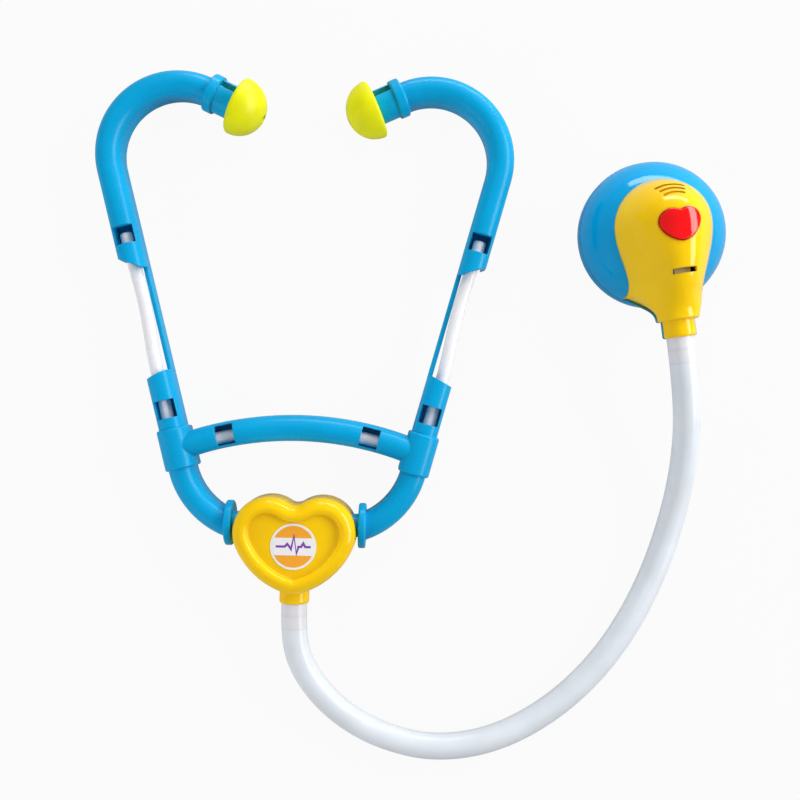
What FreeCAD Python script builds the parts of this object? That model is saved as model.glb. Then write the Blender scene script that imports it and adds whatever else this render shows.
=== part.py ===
"""Toy stethoscope, lying flat on a table with its headset stretched out along Y.

Millimetres. X runs across the headset, Y from the heart to the ears, Z up from the table.
The origin is the middle of the heart's flat back, on the table.
"""
import FreeCAD
import Part
import math
import os

V = FreeCAD.Vector
UP = V(0, 0, 1)
RIGHT = V(1, 0, 0)
AWAY = V(0, 1, 0)

# General: cut overrun, seam between clamped shells, running fit, free gap
overrun = 1.0
seam = 0.05
running_fit = 0.08
free_gap = 0.3

# Heart junction: two clamped shells with a hose neck and two side sockets
heart_width = 47.3
heart_depth = 22.5
heart_lip_round = 2.1
heart_recess = 2.6
heart_wall = 2.2
heart_neck_radius = 5.75
heart_neck_length = 4.2
heart_neck_round = 0.6
heart_label_rise = 0.7
heart_label_gap = 0.6
heart_label_thickness = 0.2
heart_screw_side = 8.6
heart_screw_rise = 5.5
heart_screw_low = 5.5
mid_z = heart_depth / 2

# Heart outline and rim, as shares of its width
lobe_radius_share = 0.287
lobe_rise_share = 0.119
side_radius_share = 0.653
tip_radius_share = 0.151
cleft_radius_share = 0.101
side_start_angle = -22.4
rim_width_share = 0.129
rim_edge_share = 0.1015

# Pull of the inner poles of an oval's quarter curve, as a share of its half axes
oval_pull_share = 0.5523

# Self-tapping screws
screw_shank_radius = 1.3
screw_head_radius = 2.6
screw_head_height = 1.8
screw_length = 10.0
screw_socket_radius = 0.9
screw_post_wall = 1.6

# Headset mouldings: open-backed channels with a round front
tube_width = 10.0
tube_front = 6.0
tube_back = 6.0
tube_wall = 1.7
core_radius = 2.5
core_bore_radius = 1.5
window_length = 7.0
window_edge = 1.2
rib_thickness = 1.2
saddle_thickness = 1.6
saddle_reach = 2.5

# Yoke: two collars joined by an arched crossbar
collar_x = 46.8
collar_y = 36.4
collar_length = 16.0
collar_wall = 1.1
collar_round = 0.8
crossbar_crest_y = 45.4
crossbar_window_x = 27.8

# Arms, measured along their axis from the collar's middle
arm_angle = 14.8
lower_window_at = 15.6
strip_start_at = 30.4
strip_length = 40.6
sleeve_slant = 2.2
tube_slant = 6.0
upper_window_from_strip = 13.5
core_past_window = 1.4
arch_start_at = 110.9
arch_radius = 27.0
ear_drop_angle = 25.0

# Ear ends: ring, slotted sleeve and push-in ear tips
ring_radius = 7.5
ring_length = 4.0
ring_round = 0.7
sleeve_radius = 6.6
sleeve_length = 7.2
sleeve_slot_width = 3.2
sleeve_slot_turn = 40.0
tip_radius = 11.2
tip_height = 12.1
tip_edge_round = 1.2
tip_dimple_radius = 1.4
tip_dimple_depth = 2.5
stem_radius = 4.2
stem_length = 10.0
stem_chamfer = 0.5

# Elbows that swivel in the heart's sides
elbow_flange_radius = 8.7
elbow_flange_thickness = 2.8
elbow_flange_gap = 0.6
swivel_y = 8.2
swivel_radius = 4.5
swivel_head_radius = 6.0
swivel_head_thickness = 2.0
swivel_neck_length = 6.4

# Hose and the plugs that hold its ends
hose_radius = 5.0
hose_bore_radius = 3.5
plug_grip = 7.5
plug_root = 9.0
plug_bore_radius = 2.0
plug_flange_radius = 4.9
plug_flange_thickness = 1.8
plug_flange_back = 4.5
plug_nose_taper = 0.5
hose_first_run = 13.0
hose_last_run = 20.0
hose_middle_route = [
    (3.2, -46.5, 10.6),
    (10.2, -57.3, 8.8),
    (20.5, -67.2, 6.9),
    (35.0, -75.2, 5.5),
    (56.0, -80.0, 5.2),
    (80.5, -75.6, 5.2),
    (104.5, -61.3, 5.2),
    (124.5, -40.0, 5.2),
    (139.5, -12.5, 5.2),
    (148.2, 18.0, 7.5),
    (149.4, 42.0, 15.5),
]

# Chestpiece: its place, and the blue bell with a rim that stands on the table
chest_x = 137.2
chest_y = 125.1
chest_turn = 8.7
rim_radius = 28.8
rim_height = 4.0
rim_round = 0.4
dome_radius = 28.4
dome_height = 21.0
dome_flat = 0.8
bell_wall = 1.8

# Yellow housing over the bell: round head, arched back and flared neck
head_radius = 20.0
head_base = 6.0
head_top = 43.2
housing_wall = 1.8
shoulder_at = 24.0
shoulder_half_width = 15.4
shoulder_top = 38.0
neck_z = 23.5
fairing_radius = 8.2
fairing_end = 35.8
neck_radius = 6.0
neck_end = 42.2
neck_round = 0.8
neck_lip = 0.4

# Sections between the head and the shoulder, and between the shoulder and the neck
back_run_shares = (0.0, 0.42, 0.8, 1.0)
back_width_fall_shares = (0.0, 0.25, 0.8, 1.0)
back_height_fall_shares = (0.0, 0.11, 0.5, 1.0)
back_lean_shares = (0.0, 0.08, 0.2, 0.27)
flare_run_shares = (0.0, 0.17, 0.36, 0.58, 0.8, 1.0)
flare_width_fall_shares = (0.0, 0.36, 0.58, 0.8, 0.96, 1.0)
flare_rise_shares = (0.0, 0.16, 0.42, 0.8, 1.0, 1.0)
flare_top_fall_shares = (0.0, 0.23, 0.48, 0.77, 0.96, 1.0)
flare_belly_shares = (1.0, 0.95, 0.93, 0.97, 1.0, 1.0)
flare_lean_shares = (0.27, -0.17, -0.39, -0.35, -0.15, 0.0)

# How far the under half stands out beyond the upper half at each section, in lips
flare_lip_shares = (0.0, 3.5, 4.5, 3.2, 1.6, 1.0)

# Sound slots, contact slot and heart button
grille_radius = 9.4
grille_pitch = 1.9
grille_slots = 3
grille_slot_width = 0.7
grille_half_angle = 24.0
contact_slot_at = 19.0
contact_slot_width = 8.4
contact_slot_length = 1.8
button_at = 3.0
button_width = 14.6
button_proud = 1.0
button_gap = 0.25
button_flange = 1.1
button_flange_thickness = 1.3
button_travel = 1.2
button_wall = 1.4
button_ceiling = 1.6

# Electronics under the button
board_thickness = 1.2
board_half_width = 8.0
board_rear = 7.0
board_waist = 10.0
board_nose_half_width = 4.2
board_front = 22.0
board_drop = 2.0
board_corner = 1.5
post_radius = 1.6
post_rear_x = 6.2
post_rear_y = 6.0
post_front_x = 2.3
post_front_y = 20.0
rubber_dome_x = 2.8
rubber_dome_base = 2.5
rubber_dome_top = 1.3
rubber_dome_foot = 0.8
led_x = 2.8
led_radius = 1.5
led_flange = 0.35
led_flange_height = 0.8
led_gap = 0.5
contact_thickness = 0.3
contact_width = 6.0
contact_depth = 3.0
contact_drop = 2.2
speaker_radius = 7.0
speaker_y = 4.0
speaker_height = 3.6
speaker_rim = 1.0
speaker_cone_depth = 1.6
speaker_cap_radius = 2.4
speaker_magnet_radius = 4.6
speaker_frame_height = 1.4

# Chest screws, from inside the bell up into the housing
chest_screw_side = 12.3
chest_screw_rear = 2.0
chest_screw_front_angle = 62.5
chest_screw_front_share = 0.655
chest_boss_height = 2.6

# Underside: base plate, battery box, cells and door
plate_radius = 27.4
plate_recess = 0.8
plate_thickness = 2.2
plate_screw_radius = 21.8
plate_screw_head_height = 1.2
plate_screw_length = 7.0
plate_screws = 3
plate_boss_radius = 3.4
cell_radius = 5.8
cell_height = 5.4
cell_cap_radius = 4.2
cell_cap_height = 0.4
cell_gap = 0.4
cell_count = 3
battery_wall = 1.4
door_ledge = 0.8
door_thickness = 1.6
door_ear_radius = 3.6
door_grip_width = 1.2
door_grip_length = 9.0
door_grip_depth = 0.5
door_grip_pitch = 2.6
door_grips = 3


def flat(x, y):
    """A point of the headset's middle plane."""
    return V(x, y, mid_z)


def cylinder(start, axis, length, radius):
    return Part.makeCylinder(radius, length, start, axis)


def box(low, high):
    size = high - low
    return Part.makeBox(size.x, size.y, size.z, low)


def line(start, end):
    return Part.LineSegment(start, end).toShape()


def arc(centre, start, end):
    """Arc of under half a turn about a centre, the short way round."""
    reach = (start - centre).Length
    middle = (start - centre) + (end - centre)
    middle.normalize()
    return Part.Arc(start, centre + middle * reach, end).toShape()


def polygon(points):
    return Part.Face(Part.makePolygon(points + points[:1]))


def join(first, *others):
    """One clean solid from several that overlap."""
    return first.fuse(list(others)).removeSplitter()


def mirrored(shape):
    return shape.mirror(V(0, 0, 0), RIGHT)


def oval_quarter(centre, side, peak, lean=0.0):
    """Quarter of an oval from its side to its peak, with its foot leaning in by a share."""
    across = side - centre
    rise = peak - centre
    poles = [side, side + rise * oval_pull_share - across * lean, peak + across * oval_pull_share, peak]
    curve = Part.BezierCurve()
    curve.setPoles(poles)
    return curve.toShape()


def heart_arcs(width):
    """Centres and radii of the right half's arcs: cleft, lobe, side and tip."""
    lobe = width * lobe_radius_share
    side = width * side_radius_share
    tip = width * tip_radius_share
    cleft = width * cleft_radius_share
    lobe_centre = V(width / 2 - lobe, width * lobe_rise_share, 0)
    side_centre = lobe_centre + heart_lean() * (lobe - side)
    tip_y = side_centre.y - math.sqrt((side - tip) ** 2 - side_centre.x**2)
    cleft_y = lobe_centre.y + math.sqrt((lobe + cleft) ** 2 - lobe_centre.x**2)
    return [(V(0, cleft_y, 0), cleft), (lobe_centre, lobe), (side_centre, side), (V(0, tip_y, 0), tip)]


def heart_lean():
    """Direction in which the lobe's arc runs on into the side's."""
    slope = math.radians(side_start_angle)
    return V(math.cos(slope), math.sin(slope), 0)


def heart_cleft_y(width):
    centre, radius = heart_arcs(width)[0]
    return centre.y - radius


def heart_tip_y(width):
    centre, radius = heart_arcs(width)[-1]
    return centre.y - radius


def heart_wire(width, inset, centre):
    """Heart outline of tangent arcs, tip towards -Y, drawn in by an inset."""
    arcs = heart_arcs(width)
    (cleft_centre, cleft), (lobe_centre, lobe), (side_centre, side), (tip_centre, tip) = arcs
    to_cleft = (cleft_centre - lobe_centre).normalize()
    to_tip = (tip_centre - side_centre).normalize()
    points = [
        cleft_centre - AWAY * (cleft + inset),
        lobe_centre + to_cleft * (lobe - inset),
        lobe_centre + heart_lean() * (lobe - inset),
        side_centre + to_tip * (side - inset),
        tip_centre - AWAY * (tip - inset),
    ]
    edges = []
    for flip in (1, -1):
        for index, (middle, radius) in enumerate(arcs):
            ends = [V(flip * p.x, p.y, 0) + centre for p in points[index : index + 2]]
            edges.append(arc(V(flip * middle.x, middle.y, 0) + centre, *ends))
    return Part.Wire(Part.__sortEdges__(edges))


def heart_prism(width, inset, centre, height):
    return Part.Face(heart_wire(width, inset, centre)).extrude(UP * height)


def heart_rim():
    """Width of the puffed rim round the sunken panel."""
    return heart_width * rim_width_share


def heart_screw_places():
    return [V(-heart_screw_side, heart_screw_rise, 0), V(heart_screw_side, heart_screw_rise, 0),
            V(0, -heart_screw_low, 0)]


def screw(head_at, axis, length, head_height):
    """Pan-head screw driven along its axis, with a plain cross recess left to the finish."""
    head = cylinder(head_at, axis, head_height, screw_head_radius)
    shank = cylinder(head_at, axis, head_height + length, screw_shank_radius)
    point = Part.makeCone(screw_shank_radius, 0, screw_shank_radius,
                          head_at + axis * (head_height + length), axis)
    socket = cylinder(head_at, axis, head_height / 2, screw_socket_radius)
    return join(head, shank, point).cut(socket)


def heart_body():
    """Outer form of both heart shells: puffed rim round a sunken front panel, and the neck."""
    body = heart_prism(heart_width, 0, V(0, 0, 0), heart_depth)
    rims = [edge for edge in body.Edges if abs(edge.BoundBox.ZLength) < seam]
    body = body.makeFillet(heart_width * rim_edge_share, rims)
    panel_z = heart_depth - heart_recess
    panel = heart_prism(heart_width, heart_rim(), UP * panel_z, heart_recess + overrun)
    body = body.cut(panel)
    lip = [edge for edge in body.Edges
           if edge.BoundBox.ZMin > heart_depth - seam and edge.BoundBox.ZLength < seam]
    body = body.makeFillet(heart_lip_round, lip)
    neck = cylinder(flat(0, 0), -AWAY, heart_neck_end(), heart_neck_radius)
    end = [edge for edge in neck.Edges if edge.BoundBox.YMax < seam - heart_neck_end()]
    neck = neck.makeFillet(heart_neck_round, end)
    return join(body, neck)


def heart_hollows():
    """Room inside the heart: the cavity, the swivel seats and the hose plug's seat."""
    cavity = heart_prism(heart_width, heart_wall, UP * heart_wall,
                         heart_depth - heart_recess - heart_wall * 2)
    reach = swivel_inner_x() - free_gap
    room = box(V(-reach, plug_inner_y(), 0), V(reach, heart_width, heart_depth))
    cavity = cavity.common(room)
    seats = []
    for side in (1, -1):
        start = V(side * (swivel_inner_x() - overrun), swivel_y, mid_z)
        head_reach = swivel_head_thickness + free_gap + overrun
        seats.append(cylinder(start, RIGHT * side, head_reach, swivel_head_radius + free_gap))
        seats.append(cylinder(start, RIGHT * side, heart_width, swivel_radius + running_fit))
    return [cavity] + seats + plug_seat()


def plug_seat():
    """Bore and groove that clamp the hose plug in the heart's neck."""
    inner = flat(0, plug_inner_y() + overrun)
    bore = cylinder(inner, -AWAY, heart_neck_end(), hose_bore_radius)
    groove_at = flat(0, plug_flange_y())
    groove = cylinder(groove_at, -AWAY, plug_flange_thickness, plug_flange_radius + seam)
    return [bore, groove]


def elbow_flange_x():
    """Outer face of the thrust flanges, clear of the heart's sides."""
    return heart_width / 2 + elbow_flange_gap + elbow_flange_thickness


def swivel_inner_x():
    """Inner end of the swivel heads."""
    face = elbow_flange_x() - elbow_flange_thickness
    return face - swivel_neck_length - swivel_head_thickness


def heart_neck_end():
    """How far the neck reaches from the heart's middle."""
    return heart_neck_length - heart_tip_y(heart_width)


def plug_inner_y():
    return plug_root - heart_neck_end()


def plug_flange_y():
    return plug_root - plug_flange_back - heart_neck_end() + plug_flange_thickness / 2


def heart_posts(radius, low, high):
    return [cylinder(place + UP * low, UP, high - low, radius) for place in heart_screw_places()]


def heart_shells():
    """Front and back shells, parted at the middle plane and screwed together from behind."""
    hollows = heart_hollows()
    hollow = hollows[0].fuse(hollows[1:])
    post = screw_shank_radius + screw_post_wall
    socket = screw_head_radius + free_gap
    head_seat = mid_z - screw_length / 2
    posts = heart_posts(post, heart_wall, heart_depth - heart_recess - heart_wall)
    posts += heart_posts(socket + screw_post_wall, heart_wall / 2, head_seat + screw_post_wall)
    body = heart_body().cut(hollow)
    body = join(body, *posts)
    body = body.cut(plug_seat()[0].fuse(plug_seat()[1]))
    reach = heart_width
    lower = box(V(-reach, -reach, -overrun), V(reach, reach, mid_z))
    upper = box(V(-reach, -reach, mid_z), V(reach, reach, heart_depth + overrun))
    sockets = heart_posts(socket, -overrun, head_seat)
    pilot_end = head_seat + screw_length + screw_shank_radius + seam
    shafts = heart_posts(screw_shank_radius + seam, -overrun, pilot_end)
    back = body.common(lower).cut(sockets[0].fuse(sockets[1:] + shafts))
    front = body.common(upper).cut(shafts[0].fuse(shafts[1:]))
    return front, back


def heart_screws():
    head_at = mid_z - screw_length / 2 - screw_head_height
    screws = [screw(place + UP * head_at, UP, screw_length, screw_head_height)
              for place in heart_screw_places()]
    return Part.makeCompound(screws)


def heart_label():
    centre = V(0, heart_label_rise, heart_depth - heart_recess)
    radius = heart_cleft_y(heart_width) - heart_rim() - heart_label_rise - heart_label_gap
    return cylinder(centre, UP, heart_label_thickness, radius)


def arm_axis():
    """Unit vectors along the right arm towards the ear, and across it away from the head."""
    lean = math.radians(arm_angle)
    return V(math.sin(lean), math.cos(lean), 0), V(math.cos(lean), -math.sin(lean), 0)


def on_arm(along, across=0):
    run, out = arm_axis()
    return flat(collar_x, collar_y) + run * along + out * across


def arch_face(origin, across, half_width, front, back):
    """Section of a moulding: straight sides and a half-round front."""
    shoulder = front - half_width
    low_a = origin - across * half_width - UP * back
    high_a = origin - across * half_width + UP * shoulder
    high_b = origin + across * half_width + UP * shoulder
    low_b = origin + across * half_width - UP * back
    crown = Part.Arc(high_a, origin + UP * front, high_b).toShape()
    return Part.Face(Part.Wire([line(low_a, high_a), crown, line(high_b, low_b), line(low_b, low_a)]))


def tube_face(origin, across, grow=0, back_grow=0):
    """Tube section, grown or shrunk all round except at its back."""
    return arch_face(origin, across, tube_width / 2 + grow, tube_front + grow, tube_back + back_grow)


def arm_run(start, end, grow=0, back_grow=0):
    run, out = arm_axis()
    return tube_face(on_arm(start), out, grow, back_grow).extrude(run * (end - start))


def arm_block(along, across, heights):
    """Block set square on the arm, from spans along, across and in height over the middle plane."""
    points = [on_arm(along[0], across[0]), on_arm(along[1], across[0]),
              on_arm(along[1], across[1]), on_arm(along[0], across[1])]
    face = polygon([p + UP * heights[0] for p in points])
    return face.extrude(UP * (heights[1] - heights[0]))


def strip_end_at():
    return strip_start_at + strip_length


def upper_window_at():
    return strip_end_at() + upper_window_from_strip


def saddle_top():
    """Height of the saddles under the core tubes, from the middle plane."""
    return -core_radius - seam


def window_width():
    return tube_width - window_edge * 2


def window_cut(at):
    half = window_length / 2
    return arm_block((at - half, at + half), (-window_width() / 2, window_width() / 2),
                     (0, tube_front + overrun))


def core_holders(at):
    """Saddle behind the core in a window, and a rib over the core on each side of it."""
    half = window_length / 2
    inner = tube_width / 2 - tube_wall / 2
    saddle = arm_block((at - half - saddle_reach, at + half + saddle_reach), (-inner, inner),
                       (saddle_top() - saddle_thickness, saddle_top()))
    holders = [saddle]
    for low in (at - half - rib_thickness, at + half):
        rib = arm_run(low, low + rib_thickness, -tube_wall / 2)
        over = arm_block((low, low + rib_thickness), (-inner, inner), (core_radius + seam, tube_front))
        holders.append(rib.common(over))
    return holders


def slant_cut(at, slant, toward):
    """Wedge that trims an arm piece back from its inner wall to its outer wall."""
    edge = tube_wall - tube_width / 2
    far = tube_width / 2 + overrun
    points = [on_arm(at - toward * overrun, edge), on_arm(at, edge), on_arm(at + toward * slant, far),
              on_arm(at - toward * overrun, far)]
    face = polygon([p - UP * (tube_back + overrun) for p in points])
    return face.extrude(UP * (tube_back + tube_front + overrun * 2))


def arch_centre():
    run, out = arm_axis()
    return on_arm(arch_start_at) - out * arch_radius


def arch_turn():
    return 90.0 + arm_angle + ear_drop_angle


def ear_axis():
    """Unit vector along the ear end, and the point where the arch ends."""
    end = math.radians(arch_turn() - arm_angle)
    point = arch_centre() + V(math.cos(end), math.sin(end), 0) * arch_radius
    return V(-math.sin(end), math.cos(end), 0), point


def ear_arch(grow=0, back_grow=0):
    run, out = arm_axis()
    face = tube_face(on_arm(arch_start_at), out, grow, back_grow)
    return face.revolve(arch_centre(), UP, arch_turn())


def ear_tube():
    """Hooked upper arm: open-backed channel, end ring and slotted sleeve."""
    heading, end = ear_axis()
    outer = join(arm_run(strip_end_at(), arch_start_at), ear_arch())
    inner = arm_run(strip_end_at() - overrun, arch_start_at, -tube_wall, overrun)
    inner = join(inner, ear_arch(-tube_wall, overrun))
    shell = outer.cut(inner)
    shell = join(shell, *core_holders(upper_window_at()))
    shell = shell.cut(window_cut(upper_window_at()))
    shell = shell.cut(slant_cut(strip_end_at(), tube_slant, 1))
    ring = cylinder(end, heading, ring_length, ring_radius)
    ring = ring.makeFillet(ring_round, [edge for edge in ring.Edges if edge.Closed])
    sleeve = cylinder(end, heading, ring_length + sleeve_length, sleeve_radius)
    brim = [edge for edge in sleeve.Edges if edge.Closed
            and (edge.CenterOfMass - end).dot(heading) > ring_length]
    shell = join(shell, ring, sleeve.makeFillet(ring_round, brim))
    bore = cylinder(end - heading * tube_wall, heading, ring_length + sleeve_length + overrun * 2,
                    stem_radius + running_fit)
    slot_at = end + heading * ring_length
    turn = math.radians(sleeve_slot_turn)
    facing = UP * math.cos(turn) + heading.cross(UP) * math.sin(turn)
    across = heading.cross(facing)
    half = sleeve_slot_width / 2
    corners = [slot_at - across * half, slot_at + across * half,
               slot_at + across * half + heading * (sleeve_length + overrun),
               slot_at - across * half + heading * (sleeve_length + overrun)]
    slot = polygon(corners).extrude(facing * (sleeve_radius + overrun))
    return shell.cut(bore.fuse(slot))


def flex_strip():
    """Leaf of the arm that bends when the arms are spread: the back half of its inner wall."""
    leaf = arm_run(strip_start_at, strip_end_at())
    keep = arm_block((strip_start_at, strip_end_at()), (-tube_width, tube_wall - tube_width / 2),
                     (-tube_back - overrun, 0))
    return leaf.common(keep)


def arm_sleeve():
    """Lower arm between the collar and the leaf."""
    start = seam
    shell = arm_run(start, strip_start_at)
    shell = shell.cut(arm_run(start - overrun, strip_start_at + overrun, -tube_wall, overrun))
    shell = join(shell, *core_holders(lower_window_at))
    shell = shell.cut(window_cut(lower_window_at))
    return shell.cut(slant_cut(strip_start_at, sleeve_slant, -1))


def core_tube():
    """White tube that shows in the windows and beside the leaf."""
    run, out = arm_axis()
    length = upper_window_at() + core_past_window - seam
    outer = cylinder(on_arm(seam, core_shift()), run, length, core_radius)
    start = on_arm(seam - overrun, core_shift())
    return outer.cut(cylinder(start, run, length + overrun * 2, core_bore_radius))


def ear_tip():
    """Soft domed tip on a stem that pushes into the slotted sleeve, turned about the ear end."""
    heading, end = ear_axis()
    base = end + heading * (ring_length + sleeve_length + free_gap / 2)
    foot = UP * tip_edge_round
    round_centre = RIGHT * (tip_radius - tip_edge_round) + foot
    side = RIGHT * tip_radius + foot
    peak = UP * tip_height
    corners = [peak, UP * -stem_length, V(stem_radius - stem_chamfer, 0, -stem_length),
               V(stem_radius, 0, stem_chamfer - stem_length), RIGHT * stem_radius,
               RIGHT * (tip_radius - tip_edge_round)]
    edges = [line(a, b) for a, b in zip(corners, corners[1:])]
    edges.append(arc(round_centre, corners[-1], side))
    edges.append(oval_quarter(foot, side, peak))
    dimple = cylinder(UP * (tip_height - tip_dimple_depth), UP, tip_dimple_depth, tip_dimple_radius)
    tip = turned(edges).cut(dimple)
    tip.Placement = FreeCAD.Placement(base, FreeCAD.Rotation(UP, heading))
    return tip


def crossbar_circle():
    """Radius and centre of the crossbar's arch through both collars."""
    rise = crossbar_crest_y - collar_y
    radius = (collar_x**2 + rise**2) / (2 * rise)
    return radius, flat(0, crossbar_crest_y - radius)


def crossbar_arc(face_at_start, half_span):
    radius, centre = crossbar_circle()
    half_turn = math.degrees(math.asin(half_span / radius))
    face_at_start.rotate(centre, UP, -half_turn)
    return face_at_start.revolve(centre, UP, 2 * half_turn)


def crossbar(half_span, grow=0, back_grow=0):
    crest = flat(0, crossbar_crest_y)
    return crossbar_arc(tube_face(crest, AWAY, grow, back_grow), half_span)


def crossbar_window(heights, width, reach=0):
    """Blocks at both crossbar windows, square to the arch, and as much longer as they reach."""
    radius, centre = crossbar_circle()
    crest = flat(0, crossbar_crest_y)
    half = V(window_length / 2 + reach, width / 2, 0)
    block = box(crest - half + UP * heights[0], crest + half + UP * heights[1])
    turn = math.degrees(math.asin(crossbar_window_x / radius))
    blocks = []
    for angle in (-turn, turn):
        turned = block.copy()
        turned.rotate(centre, UP, angle)
        blocks.append(turned)
    return blocks


def crossbar_core_span():
    """Half length of the white tube in the crossbar, up to the collars' walls."""
    run, out = arm_axis()
    return collar_x - (tube_width / 2 + collar_wall) / out.x - free_gap


def core_shift():
    """The white tubes lie against one wall of their channels: the arms' outer, the crossbar's lower."""
    return tube_width / 2 - tube_wall - core_radius - seam


def crossbar_core():
    centre = flat(0, crossbar_crest_y - core_shift())
    rod = Part.Face(Part.Wire(Part.makeCircle(core_radius, centre, RIGHT)))
    hole = Part.Face(Part.Wire(Part.makeCircle(core_bore_radius, centre, RIGHT)))
    span = crossbar_core_span()
    return crossbar_arc(rod, span).cut(crossbar_arc(hole, span))


def yoke():
    """Crossbar and both collars in one moulding, with windows and saddles for the white tube."""
    half = collar_length / 2
    collar = arm_run(-half, half, collar_wall, collar_wall)
    run, out = arm_axis()
    ends = [edge for edge in collar.Edges
            if abs((edge.Vertexes[0].Point - edge.Vertexes[-1].Point).dot(run)) < seam]
    collar = collar.makeFillet(collar_round, ends)
    bore = arm_run(-half - overrun, half + overrun, seam, seam)
    bar = crossbar(collar_x)
    span = crossbar_core_span() + free_gap
    room = crossbar(span, -tube_wall, overrun)
    saddles = crossbar_window((saddle_top() - saddle_thickness, saddle_top()), tube_width - tube_wall,
                              saddle_reach)
    bar = join(bar.cut(room), *saddles)
    windows = crossbar_window((0, tube_front + overrun), window_width())
    bar = bar.cut(windows[0].fuse(windows[1]))
    both = collar.fuse(mirrored(collar))
    bores = bore.fuse(mirrored(bore))
    return join(bar, both).cut(bores)


def elbow_arc():
    """Start, centre and turn of the elbow's bend from the collar to the flange."""
    run, out = arm_axis()
    start = on_arm(-collar_length / 2)
    goal = flat(elbow_flange_x(), swivel_y)
    reach = goal - start
    radius = reach.dot(reach) / (2 * reach.dot(-out))
    centre = start - out * radius
    turn = 2 * math.degrees(math.asin(reach.Length / (2 * radius)))
    return start, centre, turn


def elbow():
    """Bend from the collar to a thrust flange, with the swivel stub that the heart clamps."""
    run, out = arm_axis()
    start, centre, turn = elbow_arc()
    past = 2 * turn * tube_width / (tube_width + (start - centre).Length)
    plug_top = -seam
    outer = arm_run(-collar_length / 2, plug_top)
    inner = arm_run(-collar_length / 2, plug_top + overrun, -tube_wall, overrun)
    bend = tube_face(start, out).revolve(centre, UP, -turn - past)
    hollow = tube_face(start, out, -tube_wall, overrun).revolve(centre, UP, -turn - past)
    shell = join(outer, bend).cut(join(inner, hollow))
    beyond = box(V(-heart_width, -heart_width, -heart_depth),
                 V(elbow_flange_x(), collar_y, heart_depth * 2))
    shell = shell.cut(beyond)
    face = elbow_flange_x() - elbow_flange_thickness
    flange = cylinder(flat(face, swivel_y), RIGHT, elbow_flange_thickness, elbow_flange_radius)
    rims = [edge for edge in flange.Edges if edge.Closed]
    flange = flange.makeFillet(elbow_flange_thickness / 4, rims)
    neck = cylinder(flat(face, swivel_y), -RIGHT, swivel_neck_length, swivel_radius)
    head = cylinder(flat(face - swivel_neck_length, swivel_y), -RIGHT, swivel_head_thickness,
                    swivel_head_radius)
    return join(shell, flange, neck, head)


def plug(root, axis):
    """Barbed hose plug with a clamped flange, pointing along its axis."""
    shank = cylinder(root, axis, plug_root + plug_grip, hose_bore_radius - seam)
    nose = [edge for edge in shank.Edges if edge.Closed
            and (edge.CenterOfMass - root).dot(axis) > plug_root]
    shank = shank.makeChamfer(plug_nose_taper, nose)
    flange = cylinder(root + axis * (plug_flange_back - plug_flange_thickness / 2), axis,
                      plug_flange_thickness, plug_flange_radius)
    bore = cylinder(root - axis * overrun, axis, plug_root + plug_grip + overrun * 2, plug_bore_radius)
    return join(shank, flange).cut(bore)


def heart_port():
    return flat(0, -heart_neck_end())


def chest_port():
    return in_chest_point(V(0, -neck_end, neck_z))


def neck_axis():
    """Direction out of the chestpiece's neck."""
    return in_chest_point(-AWAY) - in_chest_point(V(0, 0, 0))


def in_chest_point(point):
    turn = math.radians(chest_turn)
    x = point.x * math.cos(turn) - point.y * math.sin(turn)
    y = point.x * math.sin(turn) + point.y * math.cos(turn)
    return V(chest_x + x, chest_y + y, point.z)


def in_chest(shape):
    """Chestpiece part, modelled with its neck towards -Y, set in its place."""
    placed = shape.copy()
    placed.rotate(V(0, 0, 0), UP, chest_turn)
    placed.translate(V(chest_x, chest_y, 0))
    return placed


def hose_points():
    start = heart_port()
    end = chest_port()
    middle = [V(*point) for point in hose_middle_route]
    return [start, start - AWAY * hose_first_run] + middle + [end + neck_axis() * hose_last_run, end]


def hose_path():
    """Straight runs joined by tangent arcs, each as large as its two runs allow."""
    bend_share = 0.45
    points = hose_points()
    edges = []
    radii = []
    last = points[0]
    for before, corner, after in zip(points, points[1:], points[2:]):
        back = before - corner
        ahead = after - corner
        reach = bend_share * min(back.Length, ahead.Length)
        back.normalize()
        ahead.normalize()
        half = (math.pi - back.getAngle(ahead)) / 2
        radius = reach / math.tan(half)
        radii.append(round(radius, 1))
        middle = (back + ahead).normalize()
        depth = radius / math.cos(half) - radius
        enter = corner + back * reach
        leave = corner + ahead * reach
        edges.append(line(last, enter))
        edges.append(Part.Arc(enter, corner + middle * depth, leave).toShape())
        last = leave
    edges.append(line(last, points[-1]))
    print("hose bend radii", radii)
    return Part.Wire(edges)


def swept(path, radius):
    start = path.Edges[0].Vertexes[0].Point
    heading = path.Edges[0].tangentAt(path.Edges[0].FirstParameter)
    ring = Part.Wire(Part.makeCircle(radius, start, heading))
    return path.makePipeShell([ring], True, False)


def hose():
    path = hose_path()
    tube = swept(path, hose_radius).cut(swept(path, hose_bore_radius))
    section = math.pi * (hose_radius**2 - hose_bore_radius**2)
    ratio = tube.Volume / section / path.Length
    print("hose length", round(path.Length, 1), "volume ratio", round(ratio, 4))
    return tube


def turned(edges):
    """Solid of revolution about Z from edges in the XZ plane that close on the axis."""
    return Part.Face(Part.Wire(Part.__sortEdges__(edges))).revolve(V(0, 0, 0), UP, 360)


def dome_top():
    return rim_height + dome_height - dome_flat


def dome(shrink, base):
    """Domed solid over the rim, drawn in evenly, from a base height."""
    foot = V(0, 0, rim_height)
    side = RIGHT * (dome_radius - shrink) + foot
    top = UP * (dome_height - shrink) + foot
    quarter = oval_quarter(foot, side, top)
    low_side = RIGHT * (dome_radius - shrink) + UP * base
    edges = [quarter, line(side, low_side), line(low_side, UP * base), line(UP * base, top)]
    return turned(edges)


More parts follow.
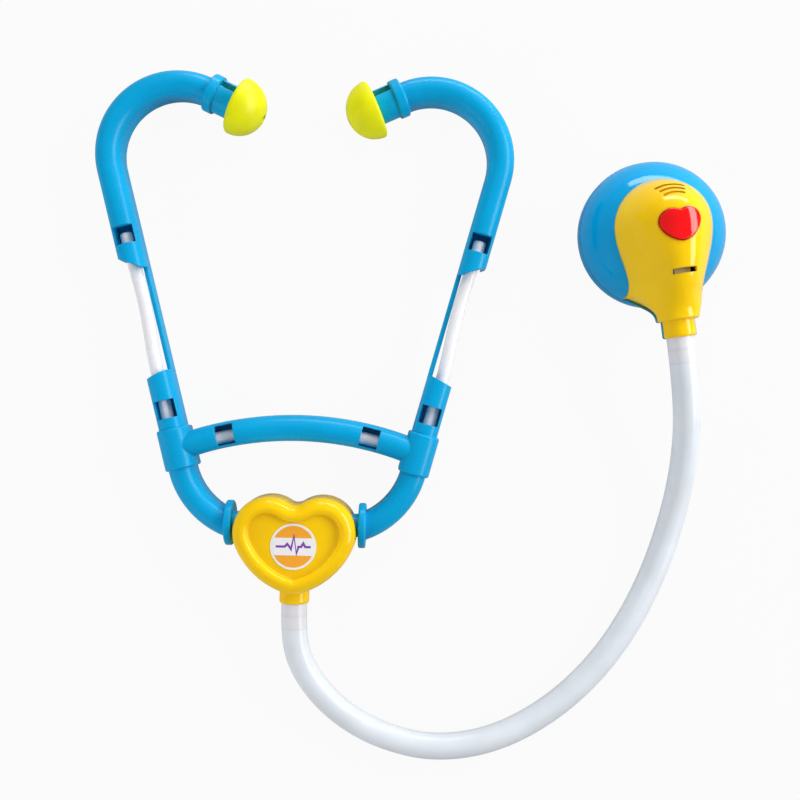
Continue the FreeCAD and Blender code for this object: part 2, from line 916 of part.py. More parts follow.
def bell_outer():
    rim = Part.makeCylinder(rim_radius, rim_height)
    top = [edge for edge in rim.Edges if edge.Closed and edge.BoundBox.ZMin > rim_height / 2]
    rim = rim.makeFillet(rim_round, top)
    whole = join(dome(0, 0), rim)
    level = box(V(-rim_radius, -rim_radius, dome_top()), V(rim_radius, rim_radius, head_top))
    return whole.cut(level)


def half_section(at, half_width, base, reach, lean=0.0):
    """Half oval standing on, or hanging from, its base line, square to the neck."""
    centre = V(0, -at, base)
    left = centre - RIGHT * half_width
    right = centre + RIGHT * half_width
    peak = centre + UP * reach
    edges = [line(left, right), oval_quarter(centre, right, peak, lean),
             oval_quarter(centre, left, peak, lean)]
    return Part.Wire(Part.__sortEdges__(edges))


def back_sections(shrink):
    """Arched sections from the round head to the shoulder."""
    sections = []
    rows = zip(back_run_shares, back_width_fall_shares, back_height_fall_shares, back_lean_shares)
    for run, narrower, lower, lean in rows:
        width = head_radius - (head_radius - shoulder_half_width) * narrower
        height = head_top - (head_top - shoulder_top) * lower - head_base
        sections.append(half_section(shoulder_at * run, width - shrink, head_base, height - shrink, lean))
    return sections


def flare_rows():
    """Place, half width, parting height, top and depth of each section of the flare."""
    rows = []
    shares = zip(flare_run_shares, flare_width_fall_shares, flare_rise_shares, flare_top_fall_shares,
                 flare_belly_shares)
    for run, narrower, rise, lower, belly in shares:
        at = shoulder_at + (fairing_end - shoulder_at) * run
        width = shoulder_half_width - (shoulder_half_width - fairing_radius) * narrower
        base = head_base + (neck_z - head_base) * rise
        top = shoulder_top - (shoulder_top - neck_z - fairing_radius) * lower
        depth = (head_base + (fairing_radius - head_base) * rise) * belly
        rows.append((at, width, base, top, depth))
    return rows


def neck_form(lip):
    """The flare, drawn in by a lip, and the round collar that steps out of it to the hose."""
    sections = []
    rows = zip(flare_rows(), flare_lean_shares, flare_lip_shares)
    for (at, width, base, top, depth), lean, lips in rows:
        width = width - lip * lips
        centre = V(0, -at, base)
        peak = V(0, -at, top)
        belly = centre - UP * depth
        edges = []
        for side in (centre + RIGHT * width, centre - RIGHT * width):
            edges.append(oval_quarter(centre, side, peak, lean))
            edges.append(oval_quarter(centre, side, belly))
        sections.append(Part.Wire(Part.__sortEdges__(edges)))
    flare = Part.makeLoft(sections, True, False)
    brim = [edge for edge in flare.Edges if edge.BoundBox.YMax < seam - fairing_end]
    flare = flare.makeFillet(neck_round, brim)
    start = V(0, overrun - fairing_end, neck_z)
    collar = cylinder(start, -AWAY, neck_end - fairing_end + overrun, neck_radius + neck_lip - lip)
    end = [edge for edge in collar.Edges if edge.BoundBox.YMax < seam - neck_end]
    return join(flare, collar.makeFillet(neck_round, end))


def parting_block(limit):
    """Block from the curved parting surface of the neck up or down to a height."""
    reach = RIGHT * rim_radius
    rows = [row for row, rise in zip(flare_rows(), flare_rise_shares) if rise < 1]
    points = [V(0, -row[0], row[2]) - reach for row in rows]
    level = V(0, -flare_rows()[len(rows)][0], neck_z) - reach
    curve = Part.BSplineCurve()
    curve.interpolate(points + [level])
    rear = V(0, rim_radius, head_base) - reach
    front = V(0, -neck_end - overrun, neck_z) - reach
    edges = [line(rear, points[0]), curve.toShape(), line(level, front),
             line(front, V(front.x, front.y, limit)), line(V(front.x, front.y, limit),
             V(rear.x, rear.y, limit)), line(V(rear.x, rear.y, limit), rear)]
    return Part.Face(Part.Wire(edges)).extrude(reach * 2)


def neck_hollow():
    """Bore and groove that clamp the chest plug between both shells."""
    root = V(0, -neck_end + plug_root, neck_z)
    bore = cylinder(root + AWAY * overrun, -AWAY, plug_root + overrun * 2, hose_bore_radius)
    groove = cylinder(root - AWAY * (plug_flange_back - plug_flange_thickness / 2), -AWAY,
                      plug_flange_thickness, plug_flange_radius + seam)
    return bore.fuse(groove)


def head_form(shrink):
    """Round head and arched back of the housing."""
    side = RIGHT * (head_radius - shrink) + UP * head_base
    top = UP * (head_top - shrink)
    foot = UP * head_base
    head = turned([oval_quarter(foot, side, top), line(side, foot), line(foot, top)])
    behind = box(V(-head_radius, 0, 0), V(head_radius, head_radius, head_top + overrun))
    back = Part.makeLoft(back_sections(shrink), True, False)
    return join(head.common(behind), back)


def chest_screw_places():
    places = []
    angle = math.radians(chest_screw_front_angle)
    front = V(math.cos(angle), -math.sin(angle), 0) * dome_radius * chest_screw_front_share
    for side in (1, -1):
        places.append(V(side * chest_screw_side, -chest_screw_rear, 0))
        places.append(V(side * front.x, front.y, 0))
    return places


def dome_height_at(place, shrink):
    """Height of the dome's surface over a place."""
    part_share = math.hypot(place.x, place.y) / (dome_radius - shrink)
    return rim_height + (dome_height - shrink) * math.sqrt(1 - part_share**2)


def button_place(height):
    return V(0, -button_at, height)


def grille_cuts():
    """Arc slots over the speaker, round the head's axis."""
    cuts = []
    for index in range(grille_slots):
        radius = grille_radius + grille_pitch * index
        ring = Part.makeCylinder(radius + grille_slot_width / 2, head_top, V(0, 0, dome_top()))
        ring = ring.cut(Part.makeCylinder(radius - grille_slot_width / 2, head_top, V(0, 0, dome_top())))
        spread = math.radians(grille_half_angle)
        far = head_radius / math.cos(spread)
        corner = V(math.sin(spread), math.cos(spread), 0) * far
        wedge = polygon([UP * dome_top(), V(corner.x, corner.y, dome_top()),
                         V(-corner.x, corner.y, dome_top())])
        cuts.append(ring.common(wedge.extrude(UP * head_top)))
    return cuts


def housing():
    """Yellow upper shell: round head, arched back, flared neck, slots and button opening."""
    outer = join(head_form(0), neck_form(neck_lip).common(parting_block(head_top + overrun)))
    room = head_form(housing_wall)
    shell = outer.cut(room)
    post = screw_shank_radius + screw_post_wall
    bosses = [cylinder(place + UP * head_base, UP, head_top, post) for place in chest_screw_places()]
    inside = head_form(housing_wall / 2)
    bosses = [boss.common(inside) for boss in bosses]
    shell = join(shell, *bosses)
    pilots = []
    for place in chest_screw_places():
        top = chest_screw_head_at(place) + screw_head_height + screw_length + screw_shank_radius
        pilots.append(cylinder(place, UP, top + seam, screw_shank_radius + seam))
    cuts = [dome(-seam, 0), neck_hollow()] + pilots + grille_cuts()
    hole = heart_prism(button_width, -button_gap, button_place(head_base), head_top)
    slot_low = V(-contact_slot_width / 2, -contact_slot_at - contact_slot_length / 2, neck_z)
    slot_high = V(contact_slot_width / 2, -contact_slot_at + contact_slot_length / 2, head_top)
    cuts += [hole, box(slot_low, slot_high), Part.makeCylinder(rim_radius, rim_height + seam)]
    return shell.cut(cuts[0].fuse(cuts[1:]))


def chest_screw_head_at(place):
    """Underside of a chest screw's head, a boss below the bell's dome."""
    return dome_height_at(place, bell_wall) - chest_boss_height - screw_head_height


def board_top():
    """The board lies a set drop below the button's flange at its deepest travel."""
    return button_flange_low() - button_travel - board_drop


def button_flange_low():
    """Underside of the button's flange, clear of the housing's arched wall."""
    reach_share = (button_width / 2 + button_flange) / (head_radius - housing_wall)
    wall_z = head_base + (head_top - housing_wall - head_base) * math.sqrt(1 - reach_share**2)
    return wall_z - free_gap - button_flange_thickness


def heart_button():
    """Red heart that follows the housing's ridge and stands a little proud of it."""
    low = button_flange_low()
    prism = heart_prism(button_width, 0, button_place(low), head_top)
    cap = prism.common(head_form(-button_proud))
    flange = heart_prism(button_width, -button_flange, button_place(low), button_flange_thickness)
    rear_limit = box(V(-head_radius, -head_radius, low), V(head_radius, head_radius, head_top * 2))
    flange = flange.common(head_form(housing_wall + free_gap)).common(rear_limit)
    hollow = heart_prism(button_width, button_wall, button_place(low - overrun),
                         button_ceiling_z() - low + overrun)
    return join(cap, flange).cut(hollow)


def button_ceiling_z():
    return head_top - button_ceiling


def board_posts():
    """Posts on the bell's dome that carry the circuit board."""
    posts = []
    top = board_top() - board_thickness
    for side in (1, -1):
        for x, y in ((post_rear_x, post_rear_y), (post_front_x, post_front_y)):
            place = V(side * x, -y, 0)
            foot = dome_height_at(place, bell_wall / 2)
            posts.append(cylinder(place + UP * foot, UP, top - foot, post_radius))
    return posts


def plate_top():
    return plate_recess + plate_thickness


def plate_screw_places():
    places = []
    for index in range(plate_screws):
        angle = 2 * math.pi * index / plate_screws - math.pi / 2
        places.append(V(math.cos(angle), math.sin(angle), 0) * plate_screw_radius)
    return places


def bell():
    """Blue lower shell: rim, dome, and the under half of the flared neck."""
    outer = join(bell_outer(), neck_form(0).common(parting_block(-overrun)))
    room = dome(bell_wall, -overrun)
    recess = cylinder(UP * -overrun, UP, plate_top() + overrun, plate_radius + seam)
    shell = outer.cut(room.fuse(recess).removeSplitter())
    post = screw_head_radius + screw_post_wall
    bosses = []
    shafts = []
    for place in chest_screw_places():
        seat = chest_screw_head_at(place) + screw_head_height
        boss = cylinder(place + UP * seat, UP, dome_height, post)
        bosses.append(boss.common(dome(bell_wall / 2, 0)))
        shafts.append(cylinder(place, UP, head_top, screw_shank_radius + seam))
    for place in plate_screw_places():
        boss = cylinder(place + UP * plate_top(), UP, dome_height, plate_boss_radius)
        bosses.append(boss.common(dome(bell_wall / 2, 0)))
        shafts.append(cylinder(place, UP, plate_top() + plate_screw_length + overrun,
                               screw_shank_radius + seam))
    shell = join(shell, *(bosses + board_posts()))
    return shell.cut(neck_hollow().fuse(shafts))


def chest_screws():
    screws = []
    for place in chest_screw_places():
        screws.append(screw(place + UP * chest_screw_head_at(place), UP, screw_length, screw_head_height))
    return Part.makeCompound(screws)


def plate_screw_set():
    head_at = plate_recess
    screws = [screw(place + UP * head_at, UP, plate_screw_length, plate_screw_head_height)
              for place in plate_screw_places()]
    return Part.makeCompound(screws)


def cell_places():
    spacing = (cell_radius * 2 + cell_gap) / 2 / math.sin(math.pi / cell_count)
    places = []
    for index in range(cell_count):
        angle = 2 * math.pi * index / cell_count - math.pi / 2
        places.append(V(math.cos(angle), math.sin(angle), 0) * spacing)
    return places


def box_inner_radius():
    return cell_places()[0].Length + cell_radius + cell_gap


def door_top():
    return plate_recess + door_thickness


def cell_floor():
    return door_top() + contact_thickness


def box_ceiling():
    return cell_floor() + cell_height + cell_cap_height + contact_thickness


def door_ear_place():
    return V(0, box_inner_radius() + battery_wall + screw_shank_radius, 0)


def door_outline(grow, low, high):
    """Round door with an ear for its screw, grown by a clearance."""
    disc = cylinder(UP * low, UP, high - low, box_inner_radius() + door_ledge + grow)
    ear = cylinder(door_ear_place() + UP * low, UP, high - low, door_ear_radius + grow)
    return join(disc, ear)


def base_plate():
    """Plate that closes the bell, with the battery box behind its door."""
    plate = cylinder(UP * plate_recess, UP, plate_thickness, plate_radius)
    roof = box_ceiling() + battery_wall
    case = cylinder(UP * door_top(), UP, roof - door_top(), box_inner_radius() + battery_wall)
    ear = cylinder(door_ear_place() + UP * door_top(), UP, plate_screw_length + overrun, door_ear_radius)
    plate = join(plate, case, ear)
    room = cylinder(UP * -overrun, UP, box_ceiling() + overrun, box_inner_radius())
    opening = door_outline(running_fit, -overrun, door_top())
    shafts = [cylinder(door_ear_place(), UP, door_top() + plate_screw_length, screw_shank_radius + seam)]
    for place in plate_screw_places():
        shafts.append(cylinder(place, UP, dome_height, screw_shank_radius + seam))
        shafts.append(cylinder(place, UP, plate_recess + plate_screw_head_height, screw_head_radius + seam))
    return plate.cut(room.fuse([opening] + shafts))


def battery_door():
    door = door_outline(0, plate_recess, door_top())
    cuts = [cylinder(door_ear_place(), UP, door_top() + overrun, screw_shank_radius + seam),
            cylinder(door_ear_place(), UP, plate_recess + plate_screw_head_height,
                     screw_head_radius + seam)]
    for index in range(door_grips):
        y = (index - (door_grips - 1) / 2) * door_grip_pitch - box_inner_radius() / 2
        low = V(-door_grip_length / 2, y - door_grip_width / 2, 0)
        high = V(door_grip_length / 2, y + door_grip_width / 2, plate_recess + door_grip_depth)
        cuts.append(box(low, high))
    return door.cut(cuts[0].fuse(cuts[1:]))


def door_screw():
    return screw(door_ear_place() + UP * plate_recess, UP, plate_screw_length - overrun,
                 plate_screw_head_height)


def button_cells():
    cells = []
    for place in cell_places():
        can = cylinder(place + UP * cell_floor(), UP, cell_height, cell_radius)
        cap = cylinder(place + UP * cell_floor(), UP, cell_height + cell_cap_height, cell_cap_radius)
        cells.append(join(can, cap))
    return Part.makeCompound(cells)


def battery_contacts():
    """One metal disc under the cells on the door, one over each cell in the box."""
    base = cylinder(UP * door_top(), UP, contact_thickness, box_inner_radius() - cell_gap)
    pads = [base]
    for place in cell_places():
        pads.append(cylinder(place + UP * (box_ceiling() - contact_thickness), UP, contact_thickness,
                             cell_cap_radius))
    return Part.makeCompound(pads)


def circuit_board():
    low = board_top() - board_thickness
    half, nose = board_half_width, board_nose_half_width
    points = [V(-half, board_rear, low), V(half, board_rear, low), V(half, -board_waist, low),
              V(nose, -board_waist, low), V(nose, -board_front, low), V(-nose, -board_front, low),
              V(-nose, -board_waist, low), V(-half, -board_waist, low)]
    board = polygon(points).extrude(UP * board_thickness)
    corners = [edge for edge in board.Edges if edge.BoundBox.ZLength > board_thickness / 2]
    return board.makeFillet(board_corner / 2, corners)


def rubber_dome():
    """Soft dome that pushes the button back up."""
    place = V(-rubber_dome_x, -button_at, board_top())
    foot = cylinder(place, UP, rubber_dome_foot, rubber_dome_base)
    height = button_ceiling_z() - board_top() - seam
    wall = Part.makeCone(rubber_dome_base - rubber_dome_foot / 2, rubber_dome_top, height, place, UP)
    return join(foot, wall)


def led():
    place = V(led_x, -button_at, board_top())
    top = button_ceiling_z() - button_travel - led_gap
    body = cylinder(place, UP, top - board_top() - led_radius, led_radius)
    lens = Part.makeSphere(led_radius, place + UP * (top - board_top() - led_radius))
    flange = cylinder(place, UP, led_flange_height, led_radius + led_flange)
    return join(body, lens, flange)


def contact_strip():
    """Bent metal strip on the board that shows in the contact slot."""
    half = contact_width / 2
    top = contact_strip_top()
    y_near = -contact_slot_at + contact_depth / 2
    y_far = -contact_slot_at - contact_depth / 2
    foot = box(V(-half, y_far, board_top()), V(half, y_far + contact_thickness, top))
    bridge = box(V(-half, y_far, top - contact_thickness), V(half, y_near, top))
    return join(foot, bridge)


def contact_strip_top():
    """Just under the housing's wall at the contact slot."""
    run = contact_slot_at / shoulder_at
    spans = zip(back_run_shares, back_run_shares[1:], back_height_fall_shares, back_height_fall_shares[1:])
    for low, high, fall, next_fall in spans:
        if low <= run <= high:
            drop = fall + (next_fall - fall) * (run - low) / (high - low)
    return head_top - (head_top - shoulder_top) * drop - housing_wall - contact_drop


def speaker():
    """Small round speaker lying on the bell's flat top, cone upwards."""
    place = V(0, speaker_y, dome_top())
    frame_z = speaker_height - speaker_frame_height
    magnet = cylinder(place, UP, frame_z, speaker_magnet_radius)
    basket = Part.makeCone(speaker_magnet_radius, speaker_radius, frame_z, place, UP)
    frame = cylinder(place + UP * frame_z, UP, speaker_frame_height, speaker_radius)
    cone = Part.makeCone(speaker_cap_radius, speaker_radius - speaker_rim, speaker_cone_depth,
                         place + UP * (speaker_height - speaker_cone_depth), UP)
    cap = Part.makeSphere(speaker_cap_radius, place + UP * (speaker_height - speaker_cone_depth))
    cap = cap.common(cylinder(place, UP, speaker_height, speaker_radius))
    return join(magnet, basket, frame).cut(cone).fuse(cap).removeSplitter()


def both_sides(name, shape):
    """A piece of the right side and its mirror image on the left."""
    return {"right_" + name: shape, "left_" + name: mirrored(shape)}


def headset_parts():
    parts = {"yoke": yoke(), "crossbar_core_tube": crossbar_core()}
    parts.update(both_sides("ear_tube", ear_tube()))
    parts.update(both_sides("flex_strip", flex_strip()))
    parts.update(both_sides("arm_sleeve", arm_sleeve()))
    parts.update(both_sides("core_tube", core_tube()))
    parts.update(both_sides("ear_tip", ear_tip()))
    parts.update(both_sides("elbow", elbow()))
    return parts


def heart_parts():
    front, back = heart_shells()
    return {
        "heart_front_shell": front,
        "heart_back_shell": back,
        "heart_screws": heart_screws(),
        "heart_label": heart_label(),
        "heart_hose_plug": plug(flat(0, plug_inner_y()), -AWAY),
        "hose": hose(),
    }


def chest_parts():
    pieces = {
        "bell": bell(),
        "chest_housing": housing(),
        "heart_button": heart_button(),
        "rubber_dome": rubber_dome(),
        "circuit_board": circuit_board(),
        "indicator_led": led(),
        "contact_strip": contact_strip(),
        "speaker": speaker(),
        "chest_screws": chest_screws(),
        "base_plate": base_plate(),
        "base_plate_screws": plate_screw_set(),
        "battery_door": battery_door(),
        "battery_door_screw": door_screw(),
        "battery_contacts": battery_contacts(),
        "button_cells": button_cells(),
        "chest_hose_plug": plug(V(0, plug_root - neck_end, neck_z), -AWAY),
    }
    return {name: in_chest(shape) for name, shape in pieces.items()}


def main():
    os.makedirs("parts", exist_ok=True)
    parts = {**headset_parts(), **heart_parts(), **chest_parts()}
    for name, shape in parts.items():
        solids = len(shape.Solids)
        print(f"{name:22s} solids {solids} valid {shape.isValid()} volume {shape.Volume:.0f}")
        shape.exportStep(f"parts/{name}.step")


main()
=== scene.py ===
"""Looks of a toy stethoscope: hose, leaves, core tubes, label printing, finishes and studio."""

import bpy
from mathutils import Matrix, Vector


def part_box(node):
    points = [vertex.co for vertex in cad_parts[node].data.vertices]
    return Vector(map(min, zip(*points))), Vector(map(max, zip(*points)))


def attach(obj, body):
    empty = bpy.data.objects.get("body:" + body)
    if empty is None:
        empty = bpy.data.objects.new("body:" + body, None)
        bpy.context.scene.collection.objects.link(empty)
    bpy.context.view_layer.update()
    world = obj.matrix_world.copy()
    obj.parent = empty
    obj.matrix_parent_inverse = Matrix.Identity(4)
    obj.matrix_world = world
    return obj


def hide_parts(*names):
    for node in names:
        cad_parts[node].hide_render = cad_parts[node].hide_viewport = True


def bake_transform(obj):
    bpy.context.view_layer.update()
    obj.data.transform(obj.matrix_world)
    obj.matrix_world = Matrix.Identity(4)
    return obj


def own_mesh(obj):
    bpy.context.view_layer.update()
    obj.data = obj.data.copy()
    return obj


bl_info = {
    "name": "Toy Stethoscope Looks",
    "version": (1, 0, 0),
    "blender": (4, 5, 0),
    "location": "3D View > Sidebar > Stethoscope",
    "description": "Builds the hose, bending arm pieces, label, finishes and studio of a toy stethoscope",
    "category": "Object",
}

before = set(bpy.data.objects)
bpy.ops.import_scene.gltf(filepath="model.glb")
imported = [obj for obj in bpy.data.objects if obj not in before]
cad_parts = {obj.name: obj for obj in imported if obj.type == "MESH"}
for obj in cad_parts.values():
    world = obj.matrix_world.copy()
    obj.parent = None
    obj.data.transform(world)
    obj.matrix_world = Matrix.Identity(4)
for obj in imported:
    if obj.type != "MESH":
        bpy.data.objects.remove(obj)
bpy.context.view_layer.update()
import math
import bmesh
import bpy
from bpy.props import FloatProperty, FloatVectorProperty, PointerProperty
from mathutils import Vector

ROOT = "heart_and_chestpiece"
SIDES = (("right", 1), ("left", -1))

# Control points of the hose, from the heart's neck to the chestpiece's neck
HOSE_ROUTE = (
    (0.0, -0.022109, 0.01125),
    (0.0, -0.035109, 0.01125),
    (0.0032, -0.0465, 0.0106),
    (0.0102, -0.0573, 0.0088),
    (0.0205, -0.0672, 0.0069),
    (0.035, -0.0752, 0.0055),
    (0.056, -0.080, 0.0052),
    (0.0805, -0.0756, 0.0052),
    (0.1045, -0.0613, 0.0052),
    (0.1245, -0.040, 0.0052),
    (0.1395, -0.0125, 0.0052),
    (0.1482, 0.018, 0.0075),
    (0.1494, 0.042, 0.0155),
    (0.146608, 0.063616, 0.0235),
    (0.143583, 0.083386, 0.0235),
)

# Pulse line of the label, across and up from its middle, as shares of its field's radius
PULSE = (
    (-0.84, 0.0), (-0.4, 0.0), (-0.29, 0.13), (-0.18, 0.0), (-0.1, -0.12), (0.03, 0.52),
    (0.16, -0.34), (0.25, 0.0), (0.38, 0.0), (0.48, 0.17), (0.58, 0.0), (0.84, 0.0),
)

# Darker rings on the hose over a plug's end and barbs, as distances from the hose's end
GRIP_LENGTH = 0.0101
GRIP_FADE = 0.0006
LIP_AT = 0.0108
LIP_WIDTH = 0.0001
BARBS_AT = (0.0034, 0.0066)
BARB_WIDTH = 0.0004

# Middle of the toy on the table, which the lamps face
TOY_MIDDLE = Vector((0.05, 0.06, 0.01))

# Lamps: name, place, width, height, and whether it is mirrored in glossy surfaces
LAMPS = (
    ("key", (0.75, 0.16, 0.42), 1.0, 0.3, True),
    ("window", (0.22, 0.86, 0.17), 0.8, 0.16, True),
    ("back", (0.1, 0.7, 0.55), 0.8, 0.5, False),
    ("fill", (-0.65, -0.35, 0.28), 0.8, 0.5, False),
)

WHITE = (1.0, 1.0, 1.0, 1.0)


def length(name, description, default):
    return FloatProperty(name=name, description=description, default=default, unit="LENGTH", precision=5)


def colour(name, description, default):
    return FloatVectorProperty(name=name, description=description, default=default, subtype="COLOR",
                               size=3, min=0.0, max=1.0)


def share(name, description, default):
    return FloatProperty(name=name, description=description, default=default, subtype="FACTOR",
                         min=0.0, max=1.0)


class StethoscopeShapes(bpy.types.PropertyGroup):
    """Sizes of the pieces that are made here."""
    hose_radius: length("Hose radius", "Outer radius of the hose", 0.005)
    hose_length: length("Hose length", "Length from neck to neck", 0.302)
    collar_x: length("Collar side", "Middle of a collar from the middle line", 0.0468)
    collar_y: length("Collar rise", "Middle of a collar above the heart's middle", 0.0364)
    arm_lean: FloatProperty(name="Arm lean", description="How far an arm leans outwards",
                            default=math.radians(14.8), subtype="ANGLE")
    arm_height: length("Arm height", "Middle plane of the headset over the table", 0.01125)
    leaf_start: length("Leaf start", "Lower end of a leaf, along the arm from the collar", 0.0304)
    leaf_end: length("Leaf end", "Upper end of a leaf, along the arm from the collar", 0.071)
    leaf_lap: length("Leaf lap", "How far a leaf runs on inside its neighbours' walls", 0.0006)
    leaf_proud: length("Leaf skin", "How far a leaf stands over its neighbours' walls", 0.00002)
    channel_half: length("Channel half width", "Half the width of an arm's channel", 0.005)
    channel_wall: length("Channel wall", "Wall of an arm's channel", 0.0017)
    channel_depth: length("Channel depth", "Back of a channel from the middle plane", 0.006)
    leaf_round: length("Leaf round", "Rounding of a leaf's front edges", 0.0004)
    core_radius: length("Core radius", "Outer radius of a white core tube", 0.0025)
    core_bore: length("Core bore", "Inner radius of a white core tube", 0.0015)
    core_start: length("Core start", "Lower end of a core tube, along the arm from the collar", 0.0001)
    core_end: length("Core end", "Upper end of a core tube, along the arm from the collar", 0.0859)
    core_round: length("Core round", "Rounding of a core tube's upper end", 0.0009)
    core_shift: length("Core shift", "How far a core tube lies towards a wall of its channel", 0.00072)
    chest_x: length("Chestpiece side", "Axis of the chestpiece from the middle line", 0.1372)
    chest_y: length("Chestpiece rise", "Axis of the chestpiece above the heart's middle", 0.1251)
    chest_turn: FloatProperty(name="Chestpiece turn", description="Turn of the chestpiece on the table",
                              default=math.radians(8.7), subtype="ANGLE")
    crown_radius: length("Crown radius", "Radius of the housing's round head", 0.02)
    crown_base: length("Crown base", "Foot of the housing's round head", 0.006)
    crown_top: length("Crown top", "Top of the housing's round head", 0.0432)
    screen_near: length("Screen near edge", "Inner edge of the slots' web from the crown's axis", 0.0086)
    screen_far: length("Screen far edge", "Outer edge of the slots' web from the crown's axis", 0.0142)
    screen_half_turn: FloatProperty(name="Screen half turn", description="Half the angle of the slots' web",
                                    default=math.radians(27.0), subtype="ANGLE")
    screen_depth: length("Screen depth", "How deep the slots' web lies in the wall", 0.0007)
    screen_thickness: length("Screen thickness", "Thickness of the slots' web", 0.0004)
    dome_foot: length("Dome foot", "Radius of the rubber dome's foot", 0.0025)
    dome_foot_height: length("Dome foot height", "Height of the rubber dome's foot", 0.0008)
    dome_waist: length("Dome waist", "Radius of the rubber dome over its foot", 0.0021)
    dome_head: length("Dome head", "Radius of the rubber dome's head", 0.0013)
    dome_round: length("Dome round", "Rounding of the rubber dome's edges", 0.0003)
    dome_keep: share("Dome keep", "Share of its height the rubber dome keeps when pressed", 0.86)
    print_height: length("Print height", "Thickness of each printed layer on the label", 0.00004)
    field_share: share("Label field", "Radius of the label's field as a share of the label", 0.9)
    band_share: share("Label band", "Half height of the label's white band as a share of its field", 0.42)
    pulse_width: length("Pulse width", "Width of the label's pulse line", 0.00085)


class StethoscopeColours(bpy.types.PropertyGroup):
    """Colours of the finishes."""
    blue: colour("Blue moulding", "Arms, yoke and elbows", (0.0, 0.36, 0.69))
    bell: colour("Blue bell", "Bell, base plate and battery door", (0.0, 0.345, 0.71))
    yellow: colour("Yellow moulding", "Heart and chest housing", (1.0, 0.62, 0.0))
    tip: colour("Ear tip", "Soft ear tips", (0.83, 0.83, 0.0))
    hose: colour("Hose", "Milky hose", (0.74, 0.785, 0.84))
    hose_grip: colour("Hose grip", "Milky hose over its plugs", (0.77, 0.73, 0.77))
    core: colour("Core tube", "White tubes in the arms", (0.88, 0.88, 0.92))
    red: colour("Red button", "Heart-shaped button", (0.95, 0.0, 0.003))
    paper: colour("Label edge", "White edge and band of the label", (0.90, 0.90, 0.92))
    field: colour("Label field", "Warm field of the label", (0.95, 0.40, 0.03))
    pulse: colour("Label pulse", "Pulse line of the label", (0.22, 0.06, 0.42))
    floor: colour("Floor", "Pale floor", (0.42, 0.42, 0.42))


class StethoscopeStage(bpy.types.PropertyGroup):
    """Camera, lamps, floor and background."""
    eye: FloatVectorProperty(name="Eye", description="Place of the camera", size=3, subtype="XYZ",
                             unit="LENGTH", default=(0.0391, 0.05726, 0.38))
    turn: FloatProperty(name="Turn", description="Turn of the picture", default=math.radians(1.4),
                        subtype="ANGLE")
    lens: FloatProperty(name="Lens", description="Focal length on a 36 mm sensor", default=42.75,
                        unit="CAMERA")
    key: FloatProperty(name="Key lamp", description="Power of the soft key lamp", default=6.6, unit="POWER")
    window: FloatProperty(name="Window lamp", description="Power of the low lamp behind the ear tips",
                          default=3.6, unit="POWER")
    back: FloatProperty(name="Back lamp", description="Power of the high lamp behind the ear tips",
                        default=2.4, unit="POWER")
    fill: FloatProperty(name="Fill lamp", description="Power of the wide fill lamp", default=4.6,
                        unit="POWER")
    sky: share("Sky", "Level of the even light all round", 0.22)
    floor_size: length("Floor size", "Side of the square floor", 6.0)
    floor_drop: length("Floor drop", "How far the floor lies under the toy", 0.0003)
    floor_white: share("Floor white", "Share of white in the floor round the toy", 0.94)
    mirror_white: share("Mirrored white", "Share of white that glossy surfaces mirror", 0.1)
    fade_start: length("Fade start", "Where the floor begins to fade to white, from the toy's middle", 0.2)
    fade_end: length("Fade end", "Where the floor has faded to white, from the toy's middle", 0.7)


class Signal:
    """A socket of one node tree that takes part in Python sums; each sum adds its Math node."""

    def __init__(self, nodes, socket):
        self.nodes = nodes
        self.socket = socket

    def sum(self, operation, *values):
        return self.nodes.signal("ShaderNodeMath", {"operation": operation}, dict(enumerate(values)))

    def __add__(self, other):
        return self.sum("ADD", self, other)

    def __radd__(self, other):
        return self.sum("ADD", other, self)

    def __sub__(self, other):
        return self.sum("SUBTRACT", self, other)

    def __rsub__(self, other):
        return self.sum("SUBTRACT", other, self)

    def __mul__(self, other):
        return self.sum("MULTIPLY", self, other)

    def __rmul__(self, other):
        return self.sum("MULTIPLY", other, self)

    def ramp(self, low, high):
        """Smooth step from 0 at low to 1 at high."""
        return self.nodes.signal("ShaderNodeMapRange", {"interpolation_type": "SMOOTHSTEP"},
                                 {"Value": self, "From Min": low, "From Max": high})


class Nodes:
    """Node tree of one material or of the world."""

    def __init__(self, tree):
        self.tree = tree

    def node(self, kind, settings, inputs):
        """A node of that type: its settings first, then the values or links of its sockets."""
        made = self.tree.nodes.new(kind)
        for name, value in settings.items():
            setattr(made, name, value)
        for name, value in inputs.items():
            self.feed(made.inputs[name], value)
        return made

    def feed(self, socket, value):
        """Links a signal to a socket, or sets a plain value on it."""
        if isinstance(value, Signal):
            self.tree.links.new(value.socket, socket)
        else:
            socket.default_value = value

    def signal(self, kind, settings, inputs, output=0):
        """One output of a new node."""
        return Signal(self, self.node(kind, settings, inputs).outputs[output])

    def white_share(self, seen, mirrored):
        """Share of white for a ray: seen for camera and transmission rays, mirrored for glossy ones."""
        path = self.node("ShaderNodeLightPath", {}, {})
        camera, transmission, glossy = [Signal(self, path.outputs["Is " + name + " Ray"])
                                        for name in ("Camera", "Transmission", "Glossy")]
        return (camera + transmission).ramp(0.0, 1.0) * seen + glossy * mirrored

    def shade(self, share, first, second, output):
        """Joins two shaders by a share and hands them to the output."""
        both = self.signal("ShaderNodeMixShader", {}, {0: share, 1: Signal(self, first.outputs[0]),
                                                       2: Signal(self, second.outputs[0])})
        self.feed(self.tree.nodes[output].inputs["Surface"], both)


